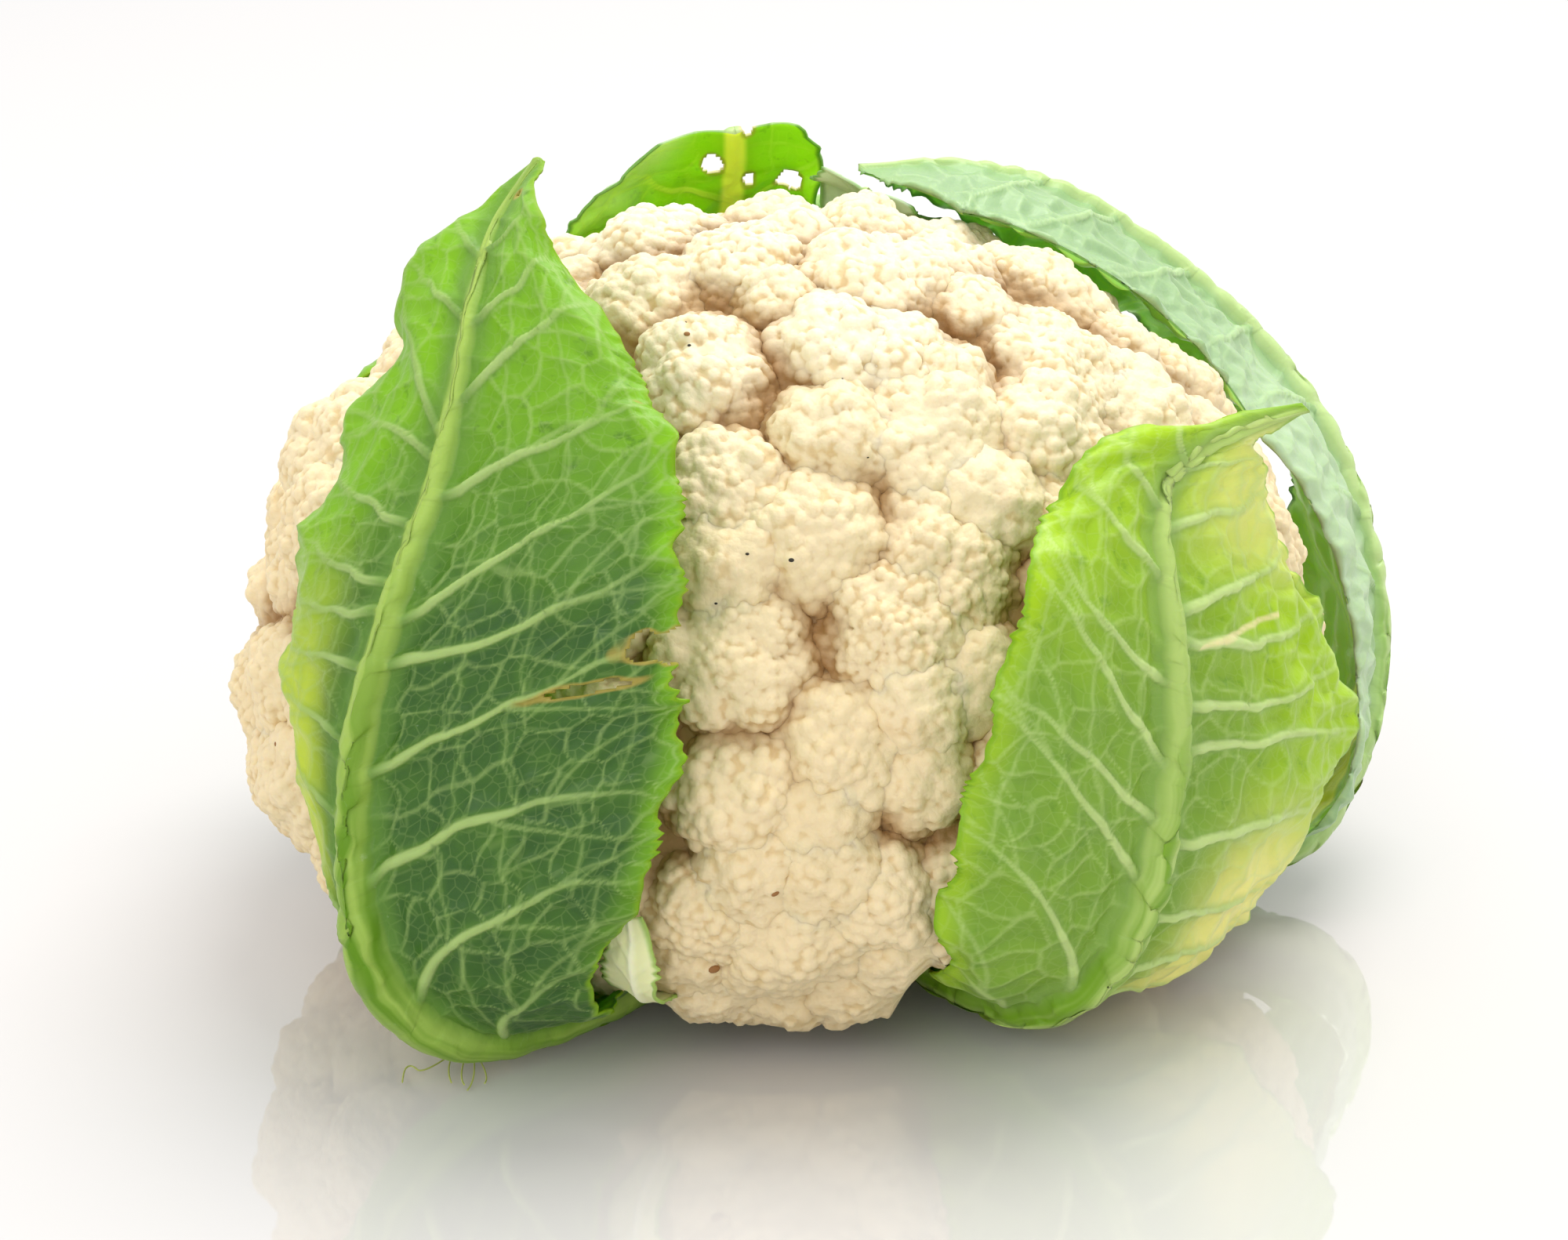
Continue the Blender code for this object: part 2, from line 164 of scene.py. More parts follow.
def spread(tree, value, low, high, fromLow=0.0, fromHigh=1.0):
    # eases a value from one range to another
    settings = {"interpolation_type": "SMOOTHSTEP"}
    return addNode(tree, "ShaderNodeMapRange", settings, Value=value, From_Min=fromLow, From_Max=fromHigh,
                   To_Min=low, To_Max=high).outputs[0]


def attribute(tree, name):
    return addNode(tree, "ShaderNodeAttribute", {"attribute_name": name}).outputs["Fac"]


def noise(tree, where, scale, detail=3.0, rough=0.55):
    made = addNode(tree, "ShaderNodeTexNoise", Vector=where, Scale=scale, Detail=detail, Roughness=rough)
    return made.outputs["Fac"]


def setSockets(shader, numbers):
    for key, value in numbers.items():
        shader.inputs[key].default_value = value


def rgb(r, g, b):
    # a colour as the eye reads it, 0 to 255, for the linear socket
    linear = [((c / 255 + 0.055) / 1.055) ** 2.4 if c > 10 else c / 255 / 12.92 for c in (r, g, b)]
    return (*linear, 1.0)


curdLook = {
    "top": rgb(247, 236, 205), "low": rgb(238, 219, 178), "flank": rgb(226, 202, 152),
    "deep": rgb(156, 112, 58), "tan": rgb(212, 172, 112),
    "litTopRise": (0.07, 0.12),     # heights, in metres, between which the lower curd's painted shade gives way to the painted light on top
    "granule": 1250.0, "granuleDepth": 0.00018, "roughness": 0.55,
}


def curdMaterial():
    # paints light and shade: pale tops as painted light, painted shade on the flanks and in tan seams
    # between the knobs, and brown painted shade down in the clefts
    look = curdLook
    material, tree, shader = freshMaterial("cream_curd")
    where = addNode(tree, "ShaderNodeTexCoord").outputs["Object"]
    depth = attribute(tree, "depth")
    cleft = attribute(tree, "cleft")
    tall = addNode(tree, "ShaderNodeSeparateXYZ", Vector=where).outputs["Z"]
    # painted light and shade: the curd is lighter at the top and darker and yellower low down, as light
    # falls from above
    colour = mixColour(tree, spread(tree, tall, 0, 1, *look["litTopRise"]), look["low"], look["top"])
    lowCleft = spread(tree, cleft, 0.3, 1, 0.0, 0.4)
    seamShade = mathNode(tree, "MULTIPLY", spread(tree, depth, 0, 0.5, 0.5, 1.0), lowCleft)
    # the first three layers are painted shade between the knobs and down the clefts; then each floret's own
    # random tone, and the curd's own tan blotches and flecks
    colour = paintOver(tree, colour, (
        (spread(tree, depth, 0, 0.9, 0.2, 0.9), look["flank"]),
        (seamShade, look["tan"]),
        (spread(tree, cleft, 0, 0.92, 0.14, 0.64), look["deep"]),
        (mathNode(tree, "MULTIPLY", attribute(tree, "shade"), 0.28), look["flank"]),
        (spread(tree, noise(tree, where, 55.0, 4.0, 0.6), 0, 0.4, 0.6, 0.8), look["tan"]),
        (spread(tree, noise(tree, where, 620.0, 2.0, 0.5), 0, 0.3, 0.66, 0.8), look["tan"]),
    ))
    tree.links.new(colour, shader.inputs["Base Color"])
    cells = addNode(tree, "ShaderNodeTexVoronoi", Vector=where, Scale=look["granule"], Randomness=0.9)
    fine = mathNode(tree, "MULTIPLY", noise(tree, where, 3200.0, 2.0), 0.5)
    height = mathNode(tree, "SUBTRACT", fine, cells.outputs["Distance"])
    bump = addNode(tree, "ShaderNodeBump", Strength=0.55, Distance=look["granuleDepth"], Height=height)
    tree.links.new(bump.outputs[0], shader.inputs["Normal"])
    setSockets(shader, {
        "Roughness": look["roughness"], "Specular IOR Level": 0.35, "Subsurface Weight": 0.25,
        "Subsurface Radius": (1.0, 0.7, 0.32), "Subsurface Scale": 0.0013,
    })
    return material


def leafMaterial(name, look):
    # blade colours by the leaf's own values, raised pale veins, a fine net between them
    material, tree, shader = freshMaterial(name)
    flat = addNode(tree, "ShaderNodeUVMap", {"uv_map": "flat"}).outputs["UV"]
    bright, pale, vein, strength, net, edge, rib, ribPale, wound = (attribute(tree, key) for key in (
        "bright", "pale", "vein", "veinStrength", "net", "edge", "rib", "ribPale", "wound"))
    mottle = mathNode(tree, "SUBTRACT", noise(tree, flat, 9.0, 5.0, 0.6), 0.5)
    share = mathNode(tree, "ADD", bright, mathNode(tree, "MULTIPLY", mottle, look["mottle"]), True)
    cells = addNode(tree, "ShaderNodeTexVoronoi", {"feature": "DISTANCE_TO_EDGE"}, Vector=flat, Scale=46.0,
                    Randomness=0.95).outputs["Distance"]
    fineLine = spread(tree, cells, look["fine"], 0, 0.0, 0.09)
    netLine = spread(tree, net, look["net"], 0, 0.0, 0.5)
    veinLine = mathNode(tree, "MULTIPLY", spread(tree, vein, 1, 0, -0.16, 0.36), strength)
    stretched = addNode(tree, "ShaderNodeMapping", Vector=flat, Scale=(34.0, 1.6, 1.0)).outputs[0]
    ribColour = paintOver(tree, look["ribGreen"], (
        (spread(tree, noise(tree, stretched, 1.0, 3.0), 0, 1, 0.38, 0.62), look["rib"]),
        (spread(tree, ribPale, 0, 0.85), look["rib"]),
    ))
    colour = paintOver(tree, mixColour(tree, share, look["deep"], look["light"]), (
        (spread(tree, noise(tree, flat, 26.0, 4.0, 0.65), 0, 0.45, 0.56, 0.72), look["dark"]),
        (pale, look["pale"]),
        (fineLine, look["vein"]),
        (netLine, look["vein"]),
        (mathNode(tree, "MULTIPLY", spread(tree, vein, 0.5, 0, 0.0, 1.3), strength), look["halo"]),
        (veinLine, look["vein"]),
        (spread(tree, rib, 0.75, 0, 0.2, 4.2), look["halo"]),
        (spread(tree, rib, 1, 0, -0.7, 0.6), ribColour),
        (spread(tree, edge, 0.8, 0, 0.1, 1.1), look["margin"]),
        (spread(tree, noise(tree, flat, 60.0, 6.0, 0.7), 0, look["scuff"], 0.62, 0.78), rgb(196, 212, 176)),
        (spread(tree, wound, 0.75, 0, 0.1, 0.75), look["wound"]),
    ))
    tree.links.new(colour, shader.inputs["Base Color"])
    ridge = mathNode(tree, "MULTIPLY", veinLine, 0.7)
    for relief, height in ((netLine, 0.5), (fineLine, 0.6), (noise(tree, flat, 110.0, 3.0), 0.5)):
        ridge = mathNode(tree, "ADD", ridge, mathNode(tree, "MULTIPLY", relief, height))
    bump = addNode(tree, "ShaderNodeBump", Strength=look["bump"], Distance=0.00025, Height=ridge)
    tree.links.new(bump.outputs[0], shader.inputs["Normal"])
    rough = look["roughness"]
    gloss = spread(tree, noise(tree, flat, 14.0, 3.0), rough - 0.06, rough + 0.08, 0.3, 0.7)
    tree.links.new(gloss, shader.inputs["Roughness"])
    setSockets(shader, {
        "Specular IOR Level": 0.26, "Subsurface Weight": look["glow"], "Subsurface Radius": (0.6, 1.0, 0.08),
        "Subsurface Scale": 0.0012, "Coat Weight": look["wax"], "Coat Roughness": 0.35,
    })
    return material


greenSides = {
    "darkOuter": {
        "deep": rgb(52, 92, 34), "light": rgb(122, 178, 6), "dark": rgb(38, 84, 4),
        "vein": rgb(164, 190, 112), "halo": rgb(98, 140, 50), "rib": rgb(160, 190, 84),
        "ribGreen": rgb(92, 138, 2), "pale": rgb(186, 204, 60), "margin": rgb(128, 168, 8),
        "wound": rgb(176, 152, 70), "mottle": 0.5, "fine": 0.13, "net": 0.36, "scuff": 0.3, "bump": 0.6,
        "roughness": 0.42, "glow": 0.15, "wax": 0.05,
    },
    "limeOuter": {
        "deep": rgb(112, 152, 54), "light": rgb(164, 202, 16), "dark": rgb(84, 136, 18),
        "vein": rgb(194, 216, 138), "halo": rgb(136, 172, 82), "rib": rgb(178, 204, 112),
        "ribGreen": rgb(112, 158, 16), "pale": rgb(242, 236, 142), "margin": rgb(122, 168, 14),
        "wound": rgb(240, 226, 170), "mottle": 0.5, "fine": 0.1, "net": 0.3, "scuff": 0.1, "bump": 0.6,
        "roughness": 0.42, "glow": 0.2, "wax": 0.05,
    },
    "paleOuter": {
        "deep": rgb(104, 150, 88), "light": rgb(150, 192, 98), "dark": rgb(72, 128, 50),
        "vein": rgb(184, 212, 156), "halo": rgb(140, 180, 112), "rib": rgb(186, 212, 140),
        "ribGreen": rgb(136, 180, 80), "pale": rgb(184, 208, 168), "margin": rgb(88, 146, 20),
        "wound": rgb(220, 206, 150), "mottle": 0.6, "fine": 0.1, "net": 0.36, "scuff": 0.1, "bump": 0.7,
        "roughness": 0.36, "glow": 0.15, "wax": 0.15,
    },
    # the inner face: its own bright green, lightened further as painted backlight glowing through the leaf
    "backlitInner": {
        "deep": rgb(96, 178, 0), "light": rgb(156, 222, 1), "dark": rgb(40, 118, 0),
        "vein": rgb(190, 232, 60), "halo": rgb(140, 204, 8), "rib": rgb(222, 244, 70),
        "ribGreen": rgb(190, 226, 20), "pale": rgb(190, 222, 130), "margin": rgb(40, 112, 8),
        "wound": rgb(150, 160, 40), "mottle": 0.8, "fine": 0.1, "net": 0.3, "scuff": 0.0, "bump": 0.6,
        "roughness": 0.4, "glow": 0.45, "wax": 0.05,
    },
    "palest": {
        "deep": rgb(222, 228, 156), "light": rgb(238, 242, 188), "dark": rgb(180, 196, 100),
        "vein": rgb(236, 238, 200), "halo": rgb(224, 228, 170), "rib": rgb(236, 238, 204),
        "ribGreen": rgb(212, 222, 150), "pale": rgb(236, 232, 190), "margin": rgb(132, 172, 44),
        "wound": rgb(170, 130, 60), "mottle": 0.6, "fine": 0.1, "net": 0.3, "scuff": 0.0, "bump": 0.4,
        "roughness": 0.45, "glow": 0.3, "wax": 0.05,
    },
}
leafSides = {key: leafMaterial("leaf_" + key, look) for key, look in greenSides.items()}
cream = curdMaterial()
print("materials ready")


# the curd's dome, which the florets reach and the leaves lie against

dome = {
    "centre": np.array([0.0, 4.0, 40.0]), "radii": np.array([87.0, 72.0, 78.0]),
    "lower": 50.0,     # its radius along Z below the centre
    "leafGap": 1.2,
}


def domeReach(ways):
    # how far the dome's skin lies from its centre along each direction
    tall = np.where(ways[:, 2] > 0, dome["radii"][2], dome["lower"])
    radii = (dome["radii"][0], dome["radii"][1], tall)
    return 1 / np.sqrt(sum((ways[:, k] / radii[k]) ** 2 for k in range(3)))


# leaves: one row per station from the stem to the tip, each with the midrib and the two margins on the
# inner face; a rib is (depth, depth at the tip, width, width at the tip); a vein is where it starts, is
# halfway and ends, in mm along the leaf; a hole is (across, along, half width, half height, turn)

frontLeft = {
    "node": "leaf_front_left", "seed": 11, "rib": (7.5, 0.7, 10.5, 1.6),
    "bow": 3, "against": 5, "cell": 0.56,
    "outer": "darkOuter", "inner": "backlitInner", "ruffle": 0.9, "pucker": 0.6, "teeth": (2.7, 1.2),
    "veins": (
        ((52, 64, 66), (70, 74, 76), (88, 90, 92), (100, 102, 101), (112, 112, 111), (121, 120, 121),
         (125, 127, 132), (133, 138, 146), (143, 149, 152), (146, 160, 170), (164, 170, 174),
         (174, 179, 182)),
        ((40, 52, 56), (58, 70, 68), (78.5, 85.5, 81), (96, 104, 117), (113, 117.5, 131), (119, 131, 149),
         (138, 146, 158), (151, 165, 174), (163.5, 173, 181), (176, 181, 185)),
    ),
    "holes": (
        (36, 105.5, 6.5, 1.1, 0.1), (47.5, 112.5, 8.5, 3.6, 0.05), (52, 121, 7, 3.6, -0.4),
        (2.5, 186.5, 0.7, 0.5, 0),
    ),
    "rows": (
        ((-13, -20, 14.5), (-18, -17, 15.5), (-9, -23, 15.5)),
        ((-21, -31, 10), (-27, -26, 12), (-16, -34.5, 12)),
        ((-29.5, -41.5, 9), (-37, -33, 12), (-22, -47, 11.5)),
        ((-37, -48, 8.4), (-46, -36, 13), (-25.5, -56, 12.5)),
        ((-45, -53, 8.4), (-53, -38, 16), (-27, -63, 18)),
        ((-52.5, -57, 12.5), (-60, -40, 23), (-26, -67, 27)),
        ((-58.5, -59, 21), (-65, -42, 32), (-20, -71, 40)),
        ((-61, -58.5, 33), (-69, -44, 42), (-16, -72, 52)),
        ((-60.8, -56, 46.5), (-72, -42, 51), (-14.2, -72, 63)),
        ((-59.3, -55.5, 58), (-73, -38, 59), (-14, -72, 70)),
        ((-56, -55, 70), (-72, -36, 67), (-14, -71, 78.5)),
        ((-52.5, -52, 80.3), (-70, -34, 76), (-14.6, -68, 87)),
        ((-49, -48, 89.3), (-67, -32, 83), (-13.9, -64, 93.4)),
        ((-46.8, -43.5, 98), (-62.3, -30, 91), (-15.3, -59, 100.6)),
        ((-45.2, -38.5, 106.5), (-57.5, -26, 100), (-18.7, -53, 105.5)),
        ((-44, -33, 113), (-56, -22, 107.6), (-23, -47, 111.5)),
        ((-42.5, -27, 118), (-52.5, -19, 116), (-30, -38, 118)),
        ((-40.5, -21.5, 122.3), (-46, -17, 121), (-34.5, -29, 124.5)),
        ((-37.8, -17.5, 126.5), (-41, -16, 125.6), (-35.2, -21, 127.5)),
        ((-35.7, -15.2, 129.2), (-36.5, -15, 129), (-35, -16, 129.2)),
    ),
}
frontRight = {
    "node": "leaf_front_right", "seed": 23, "rib": (7, 0.7, 10, 1.6),
    "bow": 3, "against": 4, "cell": 0.55, "forkFrom": 1,
    "outer": "limeOuter", "inner": "backlitInner", "ruffle": 1.0, "pucker": 0.9, "teeth": (2.5, 1.0),
    "veins": (
        ((31.5, 39.5, 43.5), (41.5, 59.5, 71.5), (65.5, 79.5, 93.5), (75.5, 85.5, 97.5),
         (83.5, 99.5, 114.5), (97.5, 105.5, 120.5), (111.5, 119.5, 128.5), (122.5, 128.5, 133.5),
         (131.5, 136.5, 140.5)),
        ((35.5, 43.5, 47.5), (47.5, 54.5, 58.5), (59.5, 63.5, 67.5), (73.5, 77.5, 83.5),
         (87.5, 89.5, 91.5), (94.5, 96.5, 105.5), (104.5, 105.5, 113.5), (107.5, 115.5, 123.5),
         (119.5, 125.5, 131.5), (128.5, 133.5, 137.5)),
    ),
    "rows": (
        ((16, -15.5, 14.5), (11, -19, 15.5), (20, -12, 15.5)),
        ((22, -26, 10), (17, -29, 12), (28, -20.5, 12)),
        ((28.5, -35.5, 9.5), (21, -39.5, 12.7), (40, -26, 9.3)),
        ((35, -44, 10), (22.5, -51, 15.2), (52, -27, 6.5)),
        ((42, -49.5, 13.5), (22.5, -61.5, 23), (61.2, -25, 6.5)),
        ((49, -52, 22.5), (22.5, -67.5, 35), (69.5, -22, 10.5)),
        ((53, -54, 38), (25.5, -70, 48), (77.5, -18, 23)),
        ((55, -54.5, 53), (28, -71, 61), (83.5, -13.5, 37)),
        ((54.7, -54.5, 65.5), (30.5, -70, 73), (84.3, -14, 47)),
        ((53.5, -53, 76), (33.4, -66, 82), (80, -19, 60)),
        ((52.5, -49.5, 84.5), (36.5, -60, 90), (74.5, -24, 69)),
        ((54.3, -44.5, 90.4), (40.5, -54, 94), (70, -30, 81)),
        ((60, -40, 93.5), (50, -46, 97), (68.5, -32, 88.5)),
        ((66.9, -36, 95.2), (62, -38, 97), (70.5, -32.5, 93)),
        ((75.7, -32, 97), (75, -32.5, 97.4), (76, -31.5, 96.6)),
    ),
}
backRight = {
    "node": "leaf_back_right", "seed": 37, "rib": (7, 0.8, 10, 1.8),
    "bow": 2, "against": 4, "cell": 0.62,
    "outer": "paleOuter", "inner": "backlitInner", "ruffle": 1.2, "pucker": 1.0, "teeth": (3.4, 1.5),
    "roll": {"side": -1, "from": 0.78, "turn": 2.6, "radius": 2.6,
             "length": (0, 0, 0, 2, 8, 13, 14, 14, 14, 13, 11, 8, 6, 6, 5, 3, 1)},
    "rows": (
        ((19, 8.5, 15), (20, 4, 15.5), (17, 13.5, 15.5)),
        ((38, 12, 10), (38.5, 6, 11.5), (36, 18, 11.5)),
        ((58, 13, 9), (60.5, 5, 10.5), (55, 22, 11)),
        ((76, 13.5, 9.5), (80, 3, 13), (71, 27, 12.5)),
        ((85.5, 18, 13.5), (89, 7, 20), (79, 38, 16.5)),
        ((91.5, 26, 22), (92, 13, 28), (84, 50, 24)),
        ((94.5, 33, 32), (92.5, 20, 35), (86, 58, 34)),
        ((94.8, 39, 44), (91, 23, 46), (85.5, 64, 46)),
        ((92, 45, 57), (87, 24, 58), (82, 70, 58)),
        ((86.5, 50, 69), (80, 24, 70), (77, 72, 66)),
        ((77, 54, 81), (70, 22.5, 79.5), (69, 72, 72)),
        ((66.5, 55, 91), (61.5, 21, 89), (59, 70, 79)),
        ((56, 54, 99.5), (51.5, 21, 97), (50, 67, 85.5)),
        ((46.5, 52, 106), (41.5, 22, 102.5), (41, 63, 91.5)),
        ((36.5, 50, 110), (31.5, 26, 107), (32.5, 60, 98.5)),
        ((25, 48.5, 112), (25, 35, 110.5), (22.5, 57, 105)),
        ((12, 48, 112), (12.5, 46.5, 112), (12, 49.5, 111.7)),
    ),
}
backMiddle = {
    "node": "leaf_back_middle", "seed": 41, "rib": (6.5, 0.8, 9, 1.8),
    "bow": 1.5, "against": 3, "cell": 0.68,
    "outer": "paleOuter", "inner": "paleOuter", "ruffle": 0.9, "pucker": 0.6, "teeth": (3.4, 1.0),
    "rows": (
        ((8, 20.5, 15), (5, 22, 15.5), (12, 18, 15.5)),
        ((13, 39, 10), (8.5, 40, 11), (18, 37, 11)),
        ((19, 56, 9), (13, 58, 11), (26, 54, 11)),
        ((24, 70, 12.5), (14, 73, 14.5), (36, 65, 15)),
        ((28, 77.5, 23), (13, 80, 25), (46, 69, 25)),
        ((30, 80.5, 37), (12, 82, 38), (52, 70, 38)),
        ((30, 80.5, 52), (11, 81, 53), (54, 68, 52)),
        ((28, 77, 67), (10, 77, 68), (53, 64, 65)),
        ((25.5, 70, 81), (9, 69.5, 82), (48, 58, 78)),
        ((22.5, 61, 93), (6.5, 59.5, 95.5), (39, 51, 89)),
        ((19.5, 51, 101.5), (5.5, 50.5, 106), (29, 45, 98)),
        ((16.5, 43, 106), (4.5, 44.5, 112), (22, 39.5, 104)),
        ((13, 39, 110.5), (4.5, 41.5, 114), (20, 37.5, 108.8)),
    ),
}
backLeaf = {
    "node": "leaf_back", "seed": 53, "rib": (7, 1.4, 9.5, 3.4),
    "bow": 2, "against": 3, "cell": 0.66,
    "outer": "paleOuter", "inner": "backlitInner", "ruffle": 1.3, "pucker": 0.9, "teeth": (3.0, 1.2),
    "holes": (
        (-3.6, 164.5, 1.8, 2.2, 0.3), (9.4, 159, 2.4, 2.2, 0), (2.2, 171.5, 1, 1.2, 0),
        (2.6, 160, 0.8, 1.5, 0),
    ),
    "rows": (
        ((-4, 22, 15), (-8.5, 21, 15.5), (0.5, 22.5, 15.5)),
        ((-6, 42, 10), (-11, 41, 11), (-1, 43, 11)),
        ((-8, 62, 9), (-16, 61, 11), (0, 63, 11)),
        ((-9, 78, 13), (-23, 76, 16), (5, 79, 16)),
        ((-9.5, 86.5, 24), (-31, 82, 27), (11, 87, 27)),
        ((-10, 89.5, 39), (-37, 84, 40), (14, 89.5, 41)),
        ((-10, 89, 54), (-41, 82, 53), (13, 89, 56)),
        ((-10, 86, 69), (-42, 77, 67), (12, 86, 71)),
        ((-9.5, 80.5, 83), (-41, 70, 80), (11, 80.5, 85)),
        ((-9, 73, 94.5), (-38.5, 62, 92), (9, 73, 97)),
        ((-8.5, 66.5, 102.5), (-35.5, 54, 99.5), (6.5, 65, 103.5)),
        ((-8, 61.5, 110.5), (-27, 56, 108.5), (6.3, 60, 111)),
        ((-8, 58.5, 115.5), (-21, 56.5, 114), (3.5, 57.5, 116.5)),
    ),
}
backLeft = {
    "node": "leaf_back_left", "seed": 67, "rib": (6.5, 0.8, 9, 1.8),
    "bow": 2, "against": 3, "cell": 0.68,
    "outer": "darkOuter", "inner": "backlitInner", "ruffle": 1.0, "pucker": 0.6, "teeth": (3.4, 1.0),
    "rows": (
        ((-16, 14, 15), (-18.5, 10, 15.5), (-12.5, 17.5, 15.5)),
        ((-30, 26, 10), (-33, 21.5, 11), (-26.5, 30.5, 11)),
        ((-45.5, 38.5, 9), (-50, 31, 11), (-39.5, 44, 11)),
        ((-59, 49, 12.5), (-66, 36, 15.5), (-48, 57, 15)),
        ((-67.5, 55.5, 22.5), (-77, 37, 27), (-52, 68, 26)),
        ((-71.5, 58.5, 36.5), (-80.5, 36, 40), (-55, 73, 38.5)),
        ((-72.5, 58.5, 51), (-82, 30, 54), (-57, 72, 52)),
        ((-70, 56.5, 65), (-77, 34, 66), (-56, 68.5, 64.5)),
        ((-64.5, 52.5, 78.5), (-68, 39, 77), (-53, 63, 76)),
        ((-58, 47, 89), (-59, 42, 86.5), (-49, 56, 86)),
        ((-52, 42, 96), (-54.5, 41, 95.5), (-49.5, 44.5, 95.5)),
    ),
}
innerFront = {
    "node": "leaf_inner_front", "seed": 79, "rib": (1.2, 0.4, 2.4, 0.8),
    "bow": 0.2, "against": 3, "cell": 0.35,
    "outer": "palest", "inner": "palest", "ruffle": 1.1, "pucker": 0.3, "teeth": (2.4, 0.9),
    "rows": (
        ((-6, -21.5, 18), (-8, -21, 18), (-4, -22, 18)),
        ((-12, -36, 15), (-14.5, -35, 15), (-9.5, -37, 15)),
        ((-17, -50, 13.5), (-20, -48.5, 13.5), (-14.5, -51, 13.5)),
        ((-20.5, -60, 16), (-24.2, -57.5, 17), (-17, -61.5, 16)),
        ((-21.8, -64, 22), (-25.8, -61.6, 23), (-18, -65, 22)),
        ((-21.8, -64.5, 27), (-25.8, -62.6, 28.5), (-19, -65.3, 27)),
        ((-22, -65, 31), (-24, -64, 32), (-20, -65.3, 31.5)),
    ),
}
allLeaves = (frontLeft, frontRight, backRight, backMiddle, backLeaf, backLeft, innerFront)


def leafSurface(leaf, t, side):
    # the inner face at stations t and sides -1..1, before its waves, as flat arrays
    rows = np.asarray(leaf["rows"], float)
    rib = curveThrough(rows[:, 0], t)
    margin = np.where((side < 0)[:, None], curveThrough(rows[:, 1], t), curveThrough(rows[:, 2], t))
    width = np.linalg.norm(margin - rib, axis=1)
    f = np.abs(side)[:, None]
    bow = unit((rib + margin) / 2 - dome["centre"]) * leaf["bow"]
    point = rib + (margin - rib) * f + bow * 4 * f * (1 - f) * np.minimum(1, width / 20)[:, None]
    away = point - dome["centre"]
    way = unit(away)
    short = domeReach(way) + dome["leafGap"] - np.linalg.norm(away, axis=1)
    held = np.clip(t - leaf["against"], 0, 1)
    point = point + way * (np.maximum(short, 0) * held)[:, None]
    return point, width


def plannedVeins(leaf, length):
    # where each side vein leaves the midrib, is halfway and meets the margin, in mm along the leaf
    if "veins" in leaf:
        return leaf["veins"]
    draw = np.random.default_rng(leaf["seed"])
    plan = []
    for side in (0, 1):
        along, rising = length * draw.uniform(0.07, 0.12), []
        while along < length * 0.92:
            lean = draw.uniform(0.05, 0.09) * length
            rising.append((along, along + lean * draw.uniform(0.4, 0.6), along + lean))
            along += draw.uniform(0.06, 0.085) * length
        plan.append(rising)
    return plan


def veinLines(leaf, length, widthAt):
    # side veins, their forks and cross veins on the flat leaf, as segments: two ends and two half widths
    draw = np.random.default_rng(leaf["seed"] + 7)
    lines = []

    def spot(sign, f, along):
        along = np.clip(along, 0, length)
        return np.stack([sign * f * np.interp(along, *widthAt[sign]), along], 1)

    def bendTo(rise, f):
        start, middle, end = rise
        return start + f * (4 * middle - 3 * start - end) + f * f * 2 * (start + end - 2 * middle)

    for sign, rises in zip((-1, 1), plannedVeins(leaf, length)):
        reach = [float(np.interp(rise[1], *widthAt[sign])) for rise in rises]
        for k, rise in enumerate(rises):
            f = np.linspace(0, 1, 26)
            kink = np.interp(f, np.linspace(0, 1, 9), np.concatenate([[0], draw.uniform(-0.9, 0.9, 7), [0]]))
            kink *= min(1, reach[k] / 30)
            thick = min(0.95, 0.36 + reach[k] * 0.014)
            half = thick + (0.2 - thick) * f ** 0.7
            lines.append((spot(sign, f, bendTo(rise, f) + kink), half))
            forks = ((draw.uniform(0.38, 0.52), k - 1), (draw.uniform(0.62, 0.74), k + 1))
            for at, other in forks[leaf.get("forkFrom", 0):]:
                if 0 <= other < len(rises) and reach[k] > 7:
                    end = (rise[2] + rises[other][2]) / 2
                    g = np.linspace(at, 1, 14)
                    base = np.interp(at, f, bendTo(rise, f) + kink)
                    turn = (g - at) / (1 - at)
                    sway = 0.9 * np.sin(turn * draw.uniform(4, 8)) * turn * (1 - turn) * 2
                    fork = spot(sign, g, base + (end - base) * turn ** draw.uniform(0.6, 0.9) + sway)
                    lines.append((fork, np.linspace(np.interp(at, f, half) * 0.6, 0.15, 14)))
            if k + 1 < len(rises) and reach[k] > 20:
                for at in (0.3, 0.55, 0.8):
                    at += draw.uniform(-0.06, 0.06)
                    later = at + draw.uniform(-0.05, 0.05)
                    low = float(np.interp(at, f, bendTo(rise, f) + kink))
                    high = bendTo(rises[k + 1], later)
                    turn = np.linspace(0, 1, 8)
                    sway = draw.uniform(-0.035, 0.035) * np.sin(turn * 3.14) + draw.uniform(-0.012, 0.012, 8)
                    lines.append((spot(sign, at + (later - at) * turn + sway, low + (high - low) * turn),
                                  np.full(8, draw.uniform(0.1, 0.18))))
    segments = []
    for path, half in lines:
        segments.append(np.concatenate([path[:-1], path[1:], half[:-1, None], half[1:, None]], 1))
    return np.concatenate(segments)


def nearVeins(flat, segments):
    # distance from each vein's edge, below zero inside it, and that vein's half width
    best = np.full(len(flat), farAway)
    half = np.full(len(flat), 0.2)
    a, b = segments[:, 0:2], segments[:, 2:4]
    run = b - a
    size = np.maximum((run ** 2).sum(1), 1e-6)
    for start in range(0, len(flat), 3000):
        p = flat[start:start + 3000]
        away = p[:, None, :] - a[None]
        f = np.clip((away * run[None]).sum(2) / size, 0, 1)
        gap = np.linalg.norm(away - run[None] * f[..., None], axis=2)
        wide = segments[:, 4] + (segments[:, 5] - segments[:, 4]) * f
        gap -= wide
        k = gap.argmin(1)
        rows = np.arange(len(p))
        best[start:start + 3000] = gap[rows, k]
        half[start:start + 3000] = wide[rows, k]
    return best, half


